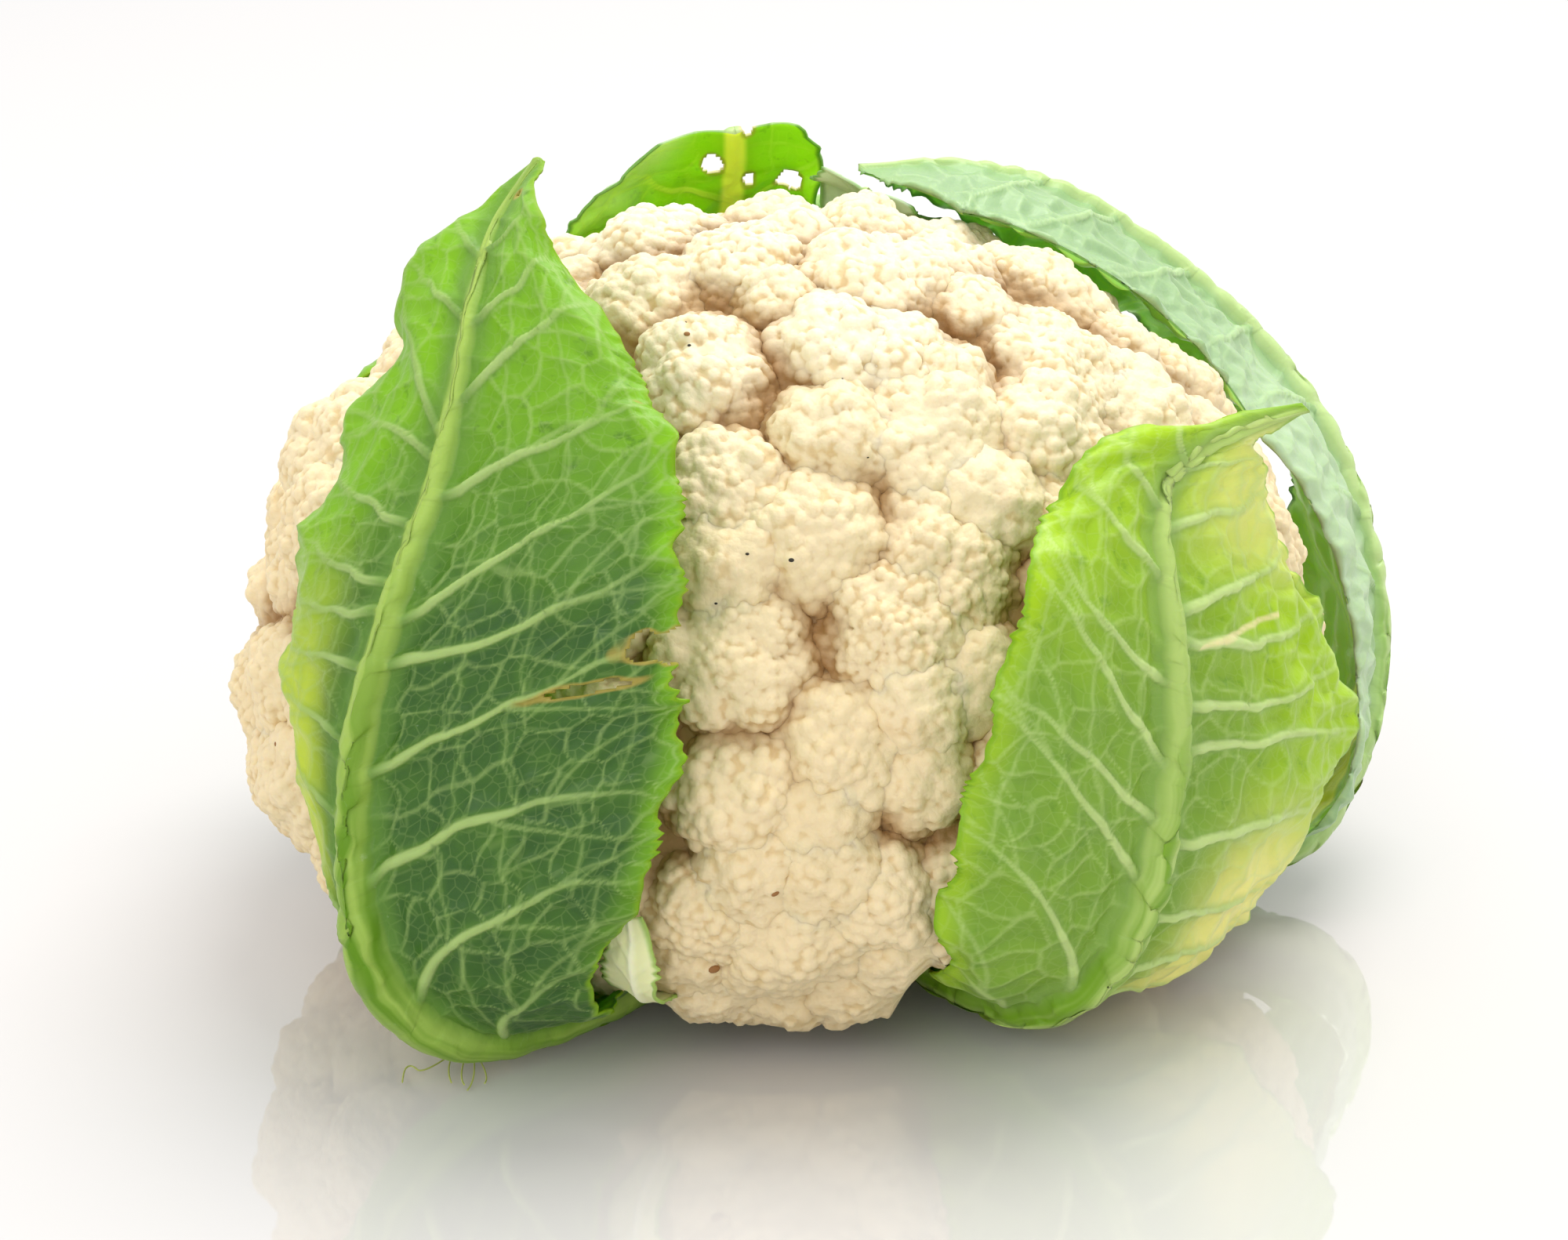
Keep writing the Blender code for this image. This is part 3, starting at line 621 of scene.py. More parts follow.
def netDistance(flat, size, seed):
    # distance to the nearest wall of a mesh of cells, as in the net of fine veins
    draw = np.random.default_rng(seed)
    cell = np.floor(flat / size).astype(int)
    low = cell.min(0) - 3
    count = cell.max(0) - low + 4
    jitter = draw.uniform(0.12, 0.88, (count[0], count[1], 2))
    seeds, gaps = [], []
    for dx in (-2, -1, 0, 1, 2):
        for dy in (-2, -1, 0, 1, 2):
            here = cell + (dx, dy)
            point = (here + jitter[here[:, 0] - low[0], here[:, 1] - low[1]]) * size
            seeds.append(point)
            gaps.append(((flat - point) ** 2).sum(1))
    seeds, gaps = np.stack(seeds, 1), np.stack(gaps, 1)
    first = gaps.argmin(1)
    rows = np.arange(len(flat))
    home = seeds[rows, first]
    apart = np.linalg.norm(seeds - home[:, None], axis=2)
    wall = (gaps - gaps[rows, first][:, None]) / (2 * np.maximum(apart, 1e-6))
    wall[apart < 1e-6] = farAway
    return wall.min(1)


def leafGrid(leaf):
    # an even grid over the leaf: t and side for each row and column
    rows = np.asarray(leaf["rows"], float)
    t = np.linspace(0, len(rows) - 1, 400)
    rib = curveThrough(rows[:, 0], t)
    run = np.concatenate([[0], np.cumsum(np.linalg.norm(np.diff(rib, axis=0), axis=1))])
    length = run[-1]
    across = [np.linalg.norm(rows[:, k] - rows[:, 0], axis=1).max() for k in (1, 2)]
    flap = max(leaf["roll"]["length"]) if "roll" in leaf else 0
    left = max(6, round((across[0] + flap) / leaf["cell"]))
    right = max(6, round(across[1] / leaf["cell"]))
    along = max(12, round(length / leaf["cell"]))
    stations = np.interp(np.linspace(0, length, along + 1), run, t)
    sides = np.concatenate([np.linspace(-1, 0, left + 1), np.linspace(0, 1, right + 1)[1:]])
    return stations, sides, length, np.linspace(0, length, along + 1)


bladeForm = {"thick": 0.42, "veinRise": 1.1, "netSize": 7.0, "netRise": 0.1, "marginBand": 7.0}


def gridMesh(name, rowCount, columnCount):
    # a flat grid to shape, and where each of its vertices is in the leaf's tables
    bm = bmesh.new()
    bmesh.ops.create_grid(bm, x_segments=columnCount - 1, y_segments=rowCount - 1, size=1)
    mesh = newMesh(name, bm)
    spots = (readVerts(mesh) + 1) / 2
    column = np.rint(spots[:, 0] * (columnCount - 1)).astype(int)
    row = np.rint(spots[:, 1] * (rowCount - 1)).astype(int)
    return mesh, row * columnCount + column


def bladeWays(point, shape, sign):
    # at each point, the way out of the leaf's outer face and the way to the nearer margin
    grid = point.reshape(*shape, 3)
    down = np.gradient(grid, axis=0)
    over = np.gradient(grid, axis=1)
    normal = unit(np.cross(over, down)).reshape(-1, 3)
    if (normal @ (point.mean(0) - dome["centre"])).mean() < 0:
        normal = -normal
    return normal, unit(over).reshape(-1, 3) * sign[:, None]


def rollMargin(roll, t, side, point, normal, lateral):
    # turns one margin outwards round a small roll, then straight on as a flap
    mine = np.sign(side) == roll["side"]
    flap = curveThrough(np.asarray(roll["length"], float)[:, None], t)[:, 0] * mine
    past = np.clip((np.abs(side) - roll["from"]) / (1 - roll["from"]), 0, 1) * flap
    arc = roll["turn"] * roll["radius"]
    bend = np.minimum(past, arc) / roll["radius"]
    straight = np.maximum(past - arc, 0)
    point = point + lateral * (roll["radius"] * np.sin(bend) + straight * np.cos(bend))[:, None]
    point = point + normal * (roll["radius"] * (1 - np.cos(bend)) + straight * np.sin(bend))[:, None]
    sine, cosine = np.sin(bend)[:, None], np.cos(bend)[:, None]
    return point, normal * cosine - lateral * sine, lateral * cosine + normal * sine, past, flap


def marginTeeth(leaf, along, sign):
    # how far the serrated and lobed margin stands out
    spacing, depth = leaf["teeth"]
    rough = [ripple(np.stack([along, sign * shift], 1), length, leaf["seed"] + extra)
             for shift, length, extra in ((30, 17, 1), (50, 9, 8), (90, 15, 2))]
    phase = along / spacing + 0.9 * rough[0]
    tooth = np.abs((phase % 1) * 2 - 1) ** 1.3 * (0.65 + 0.5 * rough[1])
    return depth * tooth - depth * 0.4 + rough[2] * 0.8


def bladeThickness(flat, ribHalf, ribTall, ribGap, vein, half, net):
    # the blade, its round midrib and its raised side veins
    ribShape = np.clip(1 - (np.abs(flat[:, 0]) / np.maximum(ribHalf, 0.3)) ** 2, 0, 1) ** 0.6
    veinShape = np.sqrt(np.clip(1 - ((vein + half) / half) ** 2, 0, 1)) * half * bladeForm["veinRise"]
    veinShape = veinShape * smoothStep(0.2, 0.5, half)
    shoulder = 0.25 * half * (1 - smoothStep(0, 1.6, vein))
    shoulder = shoulder + 0.1 * ribTall * (1 - smoothStep(-0.5, 1.2 * ribHalf, ribGap))
    thick = bladeForm["thick"] + np.maximum(ribShape * ribTall, np.maximum(veinShape, 0) + shoulder)
    return thick + bladeForm["netRise"] * (1 - smoothStep(0.1, 0.9, net)) * (ribGap > 0)


def holeDistance(leaf, flat):
    # how far each point is outside the torn places, below zero inside them
    inHole = np.full(len(flat), farAway)
    for x, y, halfX, halfY, tilt in leaf.get("holes", ()):
        u = (flat[:, 0] - x) * math.cos(tilt) + (flat[:, 1] - y) * math.sin(tilt)
        v = (flat[:, 1] - y) * math.cos(tilt) - (flat[:, 0] - x) * math.sin(tilt)
        ragged = 1 + 0.16 * ripple(flat, 5, 7)
        inHole = np.minimum(inHole, (np.hypot(u / halfX, v / halfY) - ragged) * min(halfX, halfY))
    return inHole


def makeLeaf(leaf):
    stations, sides, length, runs = leafGrid(leaf)
    rowCount, columnCount = len(stations), len(sides)
    mesh, order = gridMesh(leaf["node"], rowCount, columnCount)
    seed = leaf["seed"]
    t = np.repeat(stations, columnCount)
    side = np.tile(sides, rowCount)
    along = np.repeat(runs, columnCount)
    sign = np.sign(side) + (side == 0)
    roll = leaf.get("roll")
    reach = side
    if roll:
        unrolled = sign * np.minimum(np.abs(side) / roll["from"], 1)
        reach = np.where(np.sign(side) == roll["side"], unrolled, side)
    point, width = leafSurface(leaf, t, reach)
    flat = np.stack([reach * width, along], 1)     # the leaf laid out flat: across, along
    edge = (1 - np.abs(reach)) * width
    normal, lateral = bladeWays(point, (rowCount, columnCount), sign)
    if roll:
        point, normal, lateral, past, flap = rollMargin(roll, t, side, point, normal, lateral)
        flat[:, 0] += sign * past
        edge = edge + flap - past

    # the midrib's size, then the teeth and waves of the margins
    ribDepth, ribTip, ribWidth, ribTipWidth = leaf["rib"]
    share = along / length
    ribHalf = (ribWidth + (ribTipWidth - ribWidth) * share ** 0.9) / 2
    ribTall = ribDepth + (ribTip - ribDepth) * share ** 0.8
    ribGap = np.abs(flat[:, 0]) - ribHalf
    blade = smoothStep(1, 9, ribGap)
    nearEdge = (1 - smoothStep(0, bladeForm["marginBand"], edge)) * smoothStep(0.5, 4, ribGap)
    point = point + lateral * (nearEdge ** 1.5 * marginTeeth(leaf, along, sign))[:, None]
    tipFade = smoothStep(0, 12, length - along) * smoothStep(0, 25, along)
    wave = ripple(np.stack([along, flat[:, 0] * 0.3], 1), 24, seed + 3)
    crinkle = ripple(flat, 7.5, seed + 4)
    lift = leaf["ruffle"] * (nearEdge * wave * 1.6 + 0.35 * nearEdge * crinkle) * tipFade * blade

    # side veins, and the blade's swelling between them
    widths = {key: (runs, leafSurface(leaf, stations, np.full(rowCount, float(key)))[1]) for key in (-1, 1)}
    vein, half = nearVeins(flat, veinLines(leaf, length, widths))
    bent = flat + 0.8 * np.stack([ripple(flat, 12, 5), ripple(flat, 12, 6)], 1)
    net = netDistance(bent, bladeForm["netSize"], seed + 5)
    swell = smoothStep(0, 4.5, np.minimum(vein, ribGap)) * 1.0 + 0.5 * smoothStep(0, 2.2, net)
    broad = smoothStep(2, 14, width)
    lift = lift - leaf["pucker"] * (swell - 0.8) * broad * tipFade
    lift = lift + 0.45 * leaf["pucker"] * ripple(flat, 17, seed + 6) * broad * blade
    placeVerts(mesh, (point + normal * lift[:, None])[order])

    flatUv = mesh.uv_layers.new(name="flat")
    corner = np.empty(len(mesh.loops), int)
    mesh.loops.foreach_get("vertex_index", corner)
    flatUv.data.foreach_set("uv", (flat[order][corner] / 100 + 5).astype(np.float32).ravel())
    thick = bladeThickness(flat, ribHalf, ribTall, ribGap, vein, half, net)
    inHole = holeDistance(leaf, flat)
    bright, pale, ribPale, scar = leafShades(leaf["node"], share, reach, flat, edge)
    values = {
        "vein": vein, "net": net, "edge": edge, "rib": ribGap, "bright": bright, "pale": pale,
        "ribPale": ribPale, "wound": np.minimum(inHole, scar), "inHole": inHole,
        "thick": thick / thick.max(), "veinStrength": 0.3 + 0.62 * smoothStep(0.16, 0.6, half),
    }
    values = {key: numbers[order] for key, numbers in values.items()}
    sidesOfLeaf = [leafSides[leaf["outer"]], leafSides[leaf["inner"]]]
    piece = dressPiece(leaf["node"] + "_blade", mesh, sidesOfLeaf, values)
    middleFace = mesh.polygons[len(mesh.polygons) // 2]
    if np.dot(normal[order][middleFace.vertices[0]], middleFace.normal) < 0:
        mesh.flip_normals()
    cutHoles(mesh)
    thickenBlade(piece, thick.max())
    return seat(piece, leaf["node"])


def thickenBlade(piece, thickest):
    # makes the sheet a closed shell, by the thickness kept at each vertex
    group = piece.vertex_groups.new(name="thickness")
    for index, value in enumerate(piece.data.attributes["thick"].data):
        group.add([index], value.value, "REPLACE")
    shell = piece.modifiers.new("Thickness", "SOLIDIFY")
    shell.thickness = thickest * mm
    shell.offset = 1
    shell.vertex_group = "thickness"
    shell.use_even_offset = False
    shell.material_offset = 1
    applyModifiers(piece)


def cutHoles(mesh):
    # takes out the faces inside torn places, and any vertices left loose
    bm = bmesh.new()
    bm.from_mesh(mesh)
    inHole = bm.verts.layers.float["inHole"]
    gone = [face for face in bm.faces if sum(vert[inHole] for vert in face.verts) < 0]
    bmesh.ops.delete(bm, geom=gone, context="FACES")
    bm.to_mesh(mesh)
    bm.free()


def leafShades(node, share, reach, flat, edge):
    # shares of the light green and of the pale yellow, how pale the midrib is, and how far off scars are
    bright = 0.25 + 0.45 * smoothStep(0.55, 0.95, share) + 0.35 * (1 - smoothStep(0, 9, edge))
    pale = 0.35 * (1 - smoothStep(0.1, 0.3, share))
    ribPale = smoothStep(0.35, 0.75, share)
    scar = np.full(len(share), farAway)
    nearMargin = 1 - smoothStep(0, 6, edge)
    if node == "leaf_front_left":
        bright = 0.04 + 0.8 * smoothStep(0.58, 0.85, share) + 0.75 * smoothStep(0.1, 0.9, -reach)
        bright += 0.75 * nearMargin * smoothStep(0.22, 0.4, share)
        pale = 0.95 * smoothStep(0.15, 0.6, -reach) * smoothStep(0.3, 0.44, share)
        pale *= 1 - smoothStep(0.52, 0.72, share)
        scar = np.minimum(scar, np.hypot((flat[:, 0] - 29) / 1.6, flat[:, 1] - 156))
    if node == "leaf_front_right":
        bright = 0.15 + 0.7 * smoothStep(0.55, 0.85, share) + 0.75 * smoothStep(0.1, 0.8, reach)
        bright += 0.6 * nearMargin
        pale = 0.95 * smoothStep(0.15, 0.6, reach) * (1 - smoothStep(0.42, 0.56, share))
        pale += 0.65 * smoothStep(0.7, 0.82, share) * smoothStep(-0.1, 0.6, reach)
        beyond = np.maximum(np.abs(flat[:, 0] - 17) - 11, 0)
        scar = np.abs(flat[:, 1] - 104 - 0.28 * (flat[:, 0] - 8)) + 2 * beyond
    if node == "leaf_back_right":
        pale = 0.9 * smoothStep(0.2, 0.4, share) * (1 - 0.5 * smoothStep(0.6, 0.78, share))
        bright = 0.15 + 0.5 * nearMargin
    if node == "leaf_back_middle":
        pale = smoothStep(0.6, 0.8, share)
    if node == "leaf_back":
        pale = 0.7 * smoothStep(0.35, 0.9, -reach) * smoothStep(0.85, 0.97, share)
    return np.clip(bright, 0, 1), np.clip(pale, 0, 1), ribPale, scar


def applyModifiers(piece):
    # freezes the modifiers into the piece's own mesh
    graph = bpy.context.evaluated_depsgraph_get()
    view = piece.evaluated_get(graph)
    mesh = bpy.data.meshes.new_from_object(view, preserve_all_data_layers=True, depsgraph=graph)
    piece.modifiers.clear()
    old = piece.data
    piece.data = mesh
    bpy.data.meshes.remove(old)
    piece.vertex_groups.clear()


for leaf in allLeaves:
    made = makeLeaf(leaf)
    print(leaf["node"], len(made.data.polygons), "faces")


# the room that the leaves leave for the florets

def leafCloud():
    points, normals = [], []
    for leaf in allLeaves:
        # the small inner leaf's stalk lies among the florets
        t = np.linspace(3 if leaf is innerFront else 0, len(leaf["rows"]) - 1, len(leaf["rows"]) * 6)
        side = np.linspace(-1, 1, 33)
        grid = leafSurface(leaf, np.repeat(t, 33), np.tile(side, len(t)))[0].reshape(len(t), 33, 3)
        out = unit(np.cross(np.gradient(grid, axis=1), np.gradient(grid, axis=0)))
        if (out.reshape(-1, 3) @ (grid.reshape(-1, 3).mean(0) - dome["centre"])).mean() < 0:
            out = -out
        points.append(grid.reshape(-1, 3))
        normals.append(out.reshape(-1, 3))
    points, normals = np.concatenate(points), np.concatenate(normals)
    tree = KDTree(len(points))
    for i, p in enumerate(points):
        tree.insert(p, i)
    tree.balance()
    return tree, normals


leafTree, leafNormals = leafCloud()
leafHold = {"below": 38, "near": 9, "room": 0.9, "fade": (1.2, 4)}


def heldByLeaves(points):
    # moves points that reach a leaf back to its inner face
    moved = points.copy()
    for i in np.nonzero(points[:, 2] < leafHold["below"])[0]:
        near, k, gap = leafTree.find(points[i])
        if gap < leafHold["near"]:
            across = float(leafNormals[k] @ (points[i] - np.array(near)))
            beside = math.sqrt(max(gap * gap - across * across, 0))
            over = (across + leafHold["room"]) * (1 - smoothStep(*leafHold["fade"], beside))
            if over > 0:
                moved[i] -= leafNormals[k] * over
    return moved


# florets: (azimuth, elevation, radius, lift above the dome), then rings of
# (elevation, count, first azimuth, last azimuth, radius); azimuth 0 is the front and 90 the right

frontFlorets = (
    (-103, 72, 9, 0), (-40, 81, 10.5, 0), (49, 75, 12.5, 0), (-54, 68, 9, 0), (-21, 61, 11, 0),
    (16, 65, 10.5, 0), (30, 51, 12.5, 0), (66, 51, 12.5, 0), (50, 46, 9.5, 0), (4, 40, 10.5, 0),
    (24, 34, 12, 0), (34, 40, 8, 0), (-11, 45, 9, 0), (10, 52, 8.5, 0), (-7, 25, 12.5, 0),
    (-9, 35, 8.5, 0), (16, 27, 10.5, 0), (18, 18, 8, 0), (8, 13, 10.5, 0), (-6, 7, 9.5, 0),
    (4, 4, 8, -1), (-4, -2, 8, 0), (5, -3, 8, 0), (1, -12, 12.5, 1), (-11, -9, 9, 0),
    (13, -7, 9, 0), (18, 9, 8, -1), (-11, -25, 8.5, 1), (0, -28, 9, 0), (11, -25, 8.5, 1), (-15, -17, 8, 0),
    (16, -17, 7.5, 0), (31, 61, 9, -1), (38, 56, 8.5, -1.5), (25, 20, 8, -1), (-74, 7, 9.5, 0),
    (-78, -6, 9, 0), (-80, 32, 12, 4), (-71, 26, 11, 3), (-63, 9, 10.5, 0),
    (-70, -3, 12, 1), (-63, -10, 10, 0), (75, 4, 10, 0), (69, -7, 9, 0),
)
floretRings = (
    (74, 3, 130, 240, 11), (55, 6, 98, 290, 12), (38, 8, 70, 258, 12.5), (20, 10, 60, 262, 12.5),
    (2, 11, 92, 276, 12), (-12, 11, 90, 274, 11), (28, 2, -50, -30, 12), (50, 2, -88, -48, 12),
    (12, 2, -46, -26, 12), (-6, 2, -46, -26, 11), (10, 3, 32, 62, 12), (-6, 3, 28, 56, 11),
    (-27, 13, 45, 315, 9),
)
floretForm = {
    "fineness": 6, "smallFineness": 5, "cut": 0.06, "lowCut": -0.75, "low": -9, "spread": 1.28, "base": 0.86,
    "lobe": 0.31, "lobeGap": 0.48, "knob": (1.1, 1.65), "knobGap": 1.85, "stand": (0.5, 0.85), "flank": 0.62,
    "coarse": {"below": -20, "size": 8.6, "behind": 0.3, "behindBelow": 30},     # florets made less fine
    "shrinkBelow": -15, "smallest": 3, "perPiece": 15, "seed": 5,
}
fillerForm = {"radius": (5.5, 8.5), "apart": 0.86, "lift": -1.6, "tries": 1400, "lowest": -34}


def direction(azimuth, elevation):
    a, e = math.radians(azimuth), math.radians(elevation)
    return np.array([math.sin(a) * math.cos(e), -math.cos(a) * math.cos(e), math.sin(e)])


def spiralWays(count, draw, wobble):
    # directions in a golden-angle spiral round +Z
    k = np.arange(count) + 0.5
    z = 1 - 2 * k / count
    turn = k * math.pi * (3 - math.sqrt(5))
    ways = np.stack([np.sqrt(1 - z * z) * np.cos(turn), np.sqrt(1 - z * z) * np.sin(turn), z], 1)
    return unit(ways + draw.normal(scale=wobble, size=ways.shape))


def sphereReach(ways, centres, radii):
    # the farthest point of any ball along each direction, zero where none is met
    along = ways @ centres.T
    room = radii[None] ** 2 - (centres ** 2).sum(1)[None] + along ** 2
    reach = np.where((room > 0) & (along > 0), along + np.sqrt(np.maximum(room, 0)), 0)
    return reach.max(1)


def floretTemplate(fineness, cut):
    # a ball with its hidden back cut off and closed, its directions and their lengths
    bm = bmesh.new()
    bmesh.ops.create_icosphere(bm, subdivisions=fineness, radius=1)
    bmesh.ops.bisect_plane(bm, geom=bm.verts[:] + bm.edges[:] + bm.faces[:], plane_co=(0, 0, cut),
                           plane_no=(0, 0, -1), clear_outer=True)
    rim = [edge for edge in bm.edges if edge.is_boundary]
    cap = bmesh.ops.edgeloop_fill(bm, edges=rim)["faces"]
    bmesh.ops.poke(bm, faces=cap)
    mesh = newMesh("floret", bm)
    ball = readVerts(mesh)
    return mesh, unit(ball), np.linalg.norm(ball, axis=1)


def floretPoints(ways, radius, draw, cut):
    # swells the ball's directions into lobes and knobs; returns how far the knobs and the lobes reach
    form = floretForm
    lobeCount = max(14, round(4 * math.pi / form["lobeGap"] ** 2))
    lobeWays = spiralWays(lobeCount, draw, 0.09)
    lobeSize = radius * form["lobe"] * draw.uniform(0.75, 1.25, lobeCount)
    lobeTop = radius * draw.uniform(0.93, 1.03, lobeCount)
    lobeCentres = lobeWays * (lobeTop - lobeSize)[:, None]
    base = np.maximum(sphereReach(ways, lobeCentres, lobeSize), radius * form["base"])
    coarse = draw.uniform(0.86, 1.2)
    knobCount = round(4 * math.pi * (radius / form["knobGap"] / coarse) ** 2)
    knobWays = spiralWays(knobCount, draw, 0.25 / radius)
    knobWays = knobWays[knobWays[:, 2] > cut - 0.15]
    seatAt = np.maximum(sphereReach(knobWays, lobeCentres, lobeSize), radius * form["base"])
    knobSize = draw.uniform(*form["knob"], len(knobWays)) * coarse ** 1.4
    stand = draw.uniform(*form["stand"], len(knobWays)) * coarse
    knobCentres = knobWays * (seatAt + stand - knobSize)[:, None]
    reach = np.maximum(sphereReach(ways, knobCentres, knobSize), base - 0.1)
    return reach, base


def allFlorets():
    # the planned florets, then smaller ones wherever they leave room
    florets = list(frontFlorets)
    draw = np.random.default_rng(floretForm["seed"])
    for elevation, count, first, last, radius in floretRings:
        for azimuth in np.linspace(first, last, count):
            shift = draw.uniform(-2.5, 2.5, 2)
            florets.append((azimuth + shift[0], elevation + shift[1], radius * draw.uniform(0.92, 1.06), 0))
    tops = [direction(one[0], one[1]) for one in florets]
    tops = [way * float(domeReach(way[None])[0]) for way in tops]
    sizes = [one[2] for one in florets]
    for way in spiralWays(fillerForm["tries"], draw, 0.01):
        elevation = math.degrees(math.asin(way[2]))
        if elevation < fillerForm["lowest"]:
            continue
        top = way * float(domeReach(way[None])[0])
        gap = (np.linalg.norm(np.array(tops) - top, axis=1) - np.array(sizes) * fillerForm["apart"]).min()
        small, large = fillerForm["radius"]
        if gap > small * fillerForm["apart"]:
            size = min(large, gap / fillerForm["apart"])
            florets.append((math.degrees(math.atan2(way[0], -way[1])), elevation, size, fillerForm["lift"]))
            tops.append(top)
            sizes.append(size)
    return florets


coreForm = {
    "share": 0.9, "fineness": 6, "roof": 20.5, "roofRadius": 20.5, "rim": 6.0, "rimRadius": 48.0,
    "skirt": 1.5, "skirtRadius": 62, "lowest": 0.6,     # heights of the underside, from the stem outwards
}


def aboveUnderside(points):
    # keeps the florets off the floor and out of the hollow round the stem
    form = coreForm
    out = np.hypot(points[:, 0], points[:, 1])
    floor = np.interp(out, (0, form["roofRadius"], form["rimRadius"], form["skirtRadius"]),
                      (form["roof"], form["roof"], form["rim"], form["skirt"]))
    under = points[:, 2] < floor
    points[under, 2] = floor[under] + 0.12 * (points[under, 2] - floor[under])
    points[:, 2] = np.maximum(points[:, 2], form["lowest"])
    return points


def shapeFloret(floret, draw, templates):
    # one floret in place, clear of the leaves, and its values: depth between knobs and cleft, which set the
    # painted shade, and its own random tone
    azimuth, elevation, size, lift = floret
    form = floretForm
    out = direction(azimuth, elevation)
    rough = form["coarse"]
    behindLeaves = out[1] > rough["behind"] and elevation < rough["behindBelow"]
    coarse = elevation < rough["below"] or size <= rough["size"] or behindLeaves
    cut = form["lowCut" if elevation < form["low"] else "cut"]
    mesh, ways, length = templates[form["smallFineness" if coarse else "fineness"], cut]
    radius = size * form["spread"]
    centre = dome["centre"] + out * (float(domeReach(out[None])[0]) + lift - radius)
    if elevation < form["shrinkBelow"]:
        radius = max(form["smallest"], min(radius, leafTree.find(centre)[2] + 1))
    turn = Matrix.Rotation(draw.uniform(0, 6.28), 3, "Z")
    turn = np.array(Vector(out).to_track_quat("Z", "Y").to_matrix() @ turn)
    squash = 1 + 0.035 * ripple(ways * 10, 14, int(draw.integers(1e6)))
    reach, base = floretPoints(ways, radius, draw, cut)
    points = centre + (ways * (reach * squash * length)[:, None]) @ turn.T
    points = aboveUnderside(heldByLeaves(points))
    placeVerts(mesh, points)
    # how deep each point lies between the knobs and below the dome, which the material paints as shade
    depth = np.clip((base + form["flank"] - reach) / form["flank"], 0, 1)
    away = points - dome["centre"]
    below = domeReach(unit(away)) - np.linalg.norm(away, axis=1)
    return mesh, (depth, np.clip((below - 1.5) / 7, 0, 1), np.full(len(points), draw.uniform(0, 1)))


def makeFlorets():
    form = floretForm
    templates = {}
    for fineness in (form["fineness"], form["smallFineness"]):
        for cut in (form["cut"], form["lowCut"]):
            templates[fineness, cut] = floretTemplate(fineness, cut)
    draw = np.random.default_rng(form["seed"] + 1)
    florets = sorted(allFlorets(), key=lambda one: (round(one[1] / 35), one[0] % 360))
    print(len(florets), "florets")
    pieces = []
    for start in range(0, len(florets), form["perPiece"]):
        bm = bmesh.new()
        shades = []
        for floret in florets[start:start + form["perPiece"]]:
            mesh, shade = shapeFloret(floret, draw, templates)
            bm.from_mesh(mesh)
            shades.append(shade)
        depth, cleft, dark = (np.concatenate(column) for column in zip(*shades))
        values = {"depth": depth, "cleft": cleft, "shade": dark}
        piece = meshPiece("florets_%02d" % (len(pieces) + 1), bm, [cream], values)
        pieces.append(seat(piece, "curd"))
        print(piece.name, len(piece.data.polygons), "faces")
    for template in templates.values():
        bpy.data.meshes.remove(template[0])
    return pieces


florets = makeFlorets()


# the core seen down between the florets, painted all over in the clefts' painted shade

def makeCore():
    form = coreForm
    bm = bmesh.new()
    bmesh.ops.create_icosphere(bm, subdivisions=form["fineness"], radius=1)
    mesh = newMesh("core", bm)
    ways = unit(readVerts(mesh))
    reach = domeReach(ways) * form["share"] + 0.8 * ripple(ways * 80, 7, 3)
    for step in range(60):
        # draws what lies too low towards the centre, a millimetre at a time
        points = dome["centre"] + ways * reach[:, None]
        out = np.clip((np.hypot(points[:, 0], points[:, 1]) - form["roofRadius"])
                      / (form["rimRadius"] - form["roofRadius"]), 0, 1)
        low = (points[:, 2] < form["roof"] + (form["rim"] - form["roof"]) * out) & (ways[:, 2] < 0)
        reach = np.where(low, reach - 1, reach)
    points = heldByLeaves(dome["centre"] + ways * reach[:, None])
    placeVerts(mesh, points)
    # painted shade: the full cleft value gives the core the brown of the shade down in the clefts
    plain = {"depth": 0.8, "cleft": 1.0, "shade": 0.5}
    values = {key: np.full(len(points), value) for key, value in plain.items()}
    return seat(dressPiece("curd_core", mesh, [cream], values), "curd")


makeCore()


# dark specks and brown marks on the front florets: (azimuth, elevation, radius); dry fibres at the foot
# of the front left leaf

specks = {
    "black": ((1, 35, 0.42), (-5, 35.5, 0.3), (-21, 60, 0.3), (-9, 30, 0.25), (12, 57, 0.2), (-24, 63, 0.25),
              (14, 47, 0.2)),
    "brown": ((-9, -17, 0.95), (-1, -4, 0.7), (-17, 19, 0.4), (-22, 61, 0.5), (-67, 2, 0.5)),
}
fibres = {
    "radius": 0.13,
    "paths": (
        ((-50, -50, 1.4), (-53.5, -55, 0.9), (-55.2, -53, 1.6), (-56.3, -54.5, 1.5), (-56.2, -57.6, 0.9)),
        ((-49.5, -51, 1.6), (-50, -54, 0.9), (-49, -57.5, 0.8)),
        ((-47.5, -52, 1.6), (-48, -56, 0.9), (-47, -58.8, 1.1)),
        ((-46, -52, 1.5), (-45.5, -57, 0.8), (-46.5, -59.6, 0.6)),
        ((-45, -52, 1.5), (-43.5, -56, 0.9), (-44, -58.5, 1.2)),
    ),
}


def plainMaterial(name, colour):
    material, tree, shader = freshMaterial(name)
    setSockets(shader, {"Base Color": colour, "Roughness": 0.7})
    return material


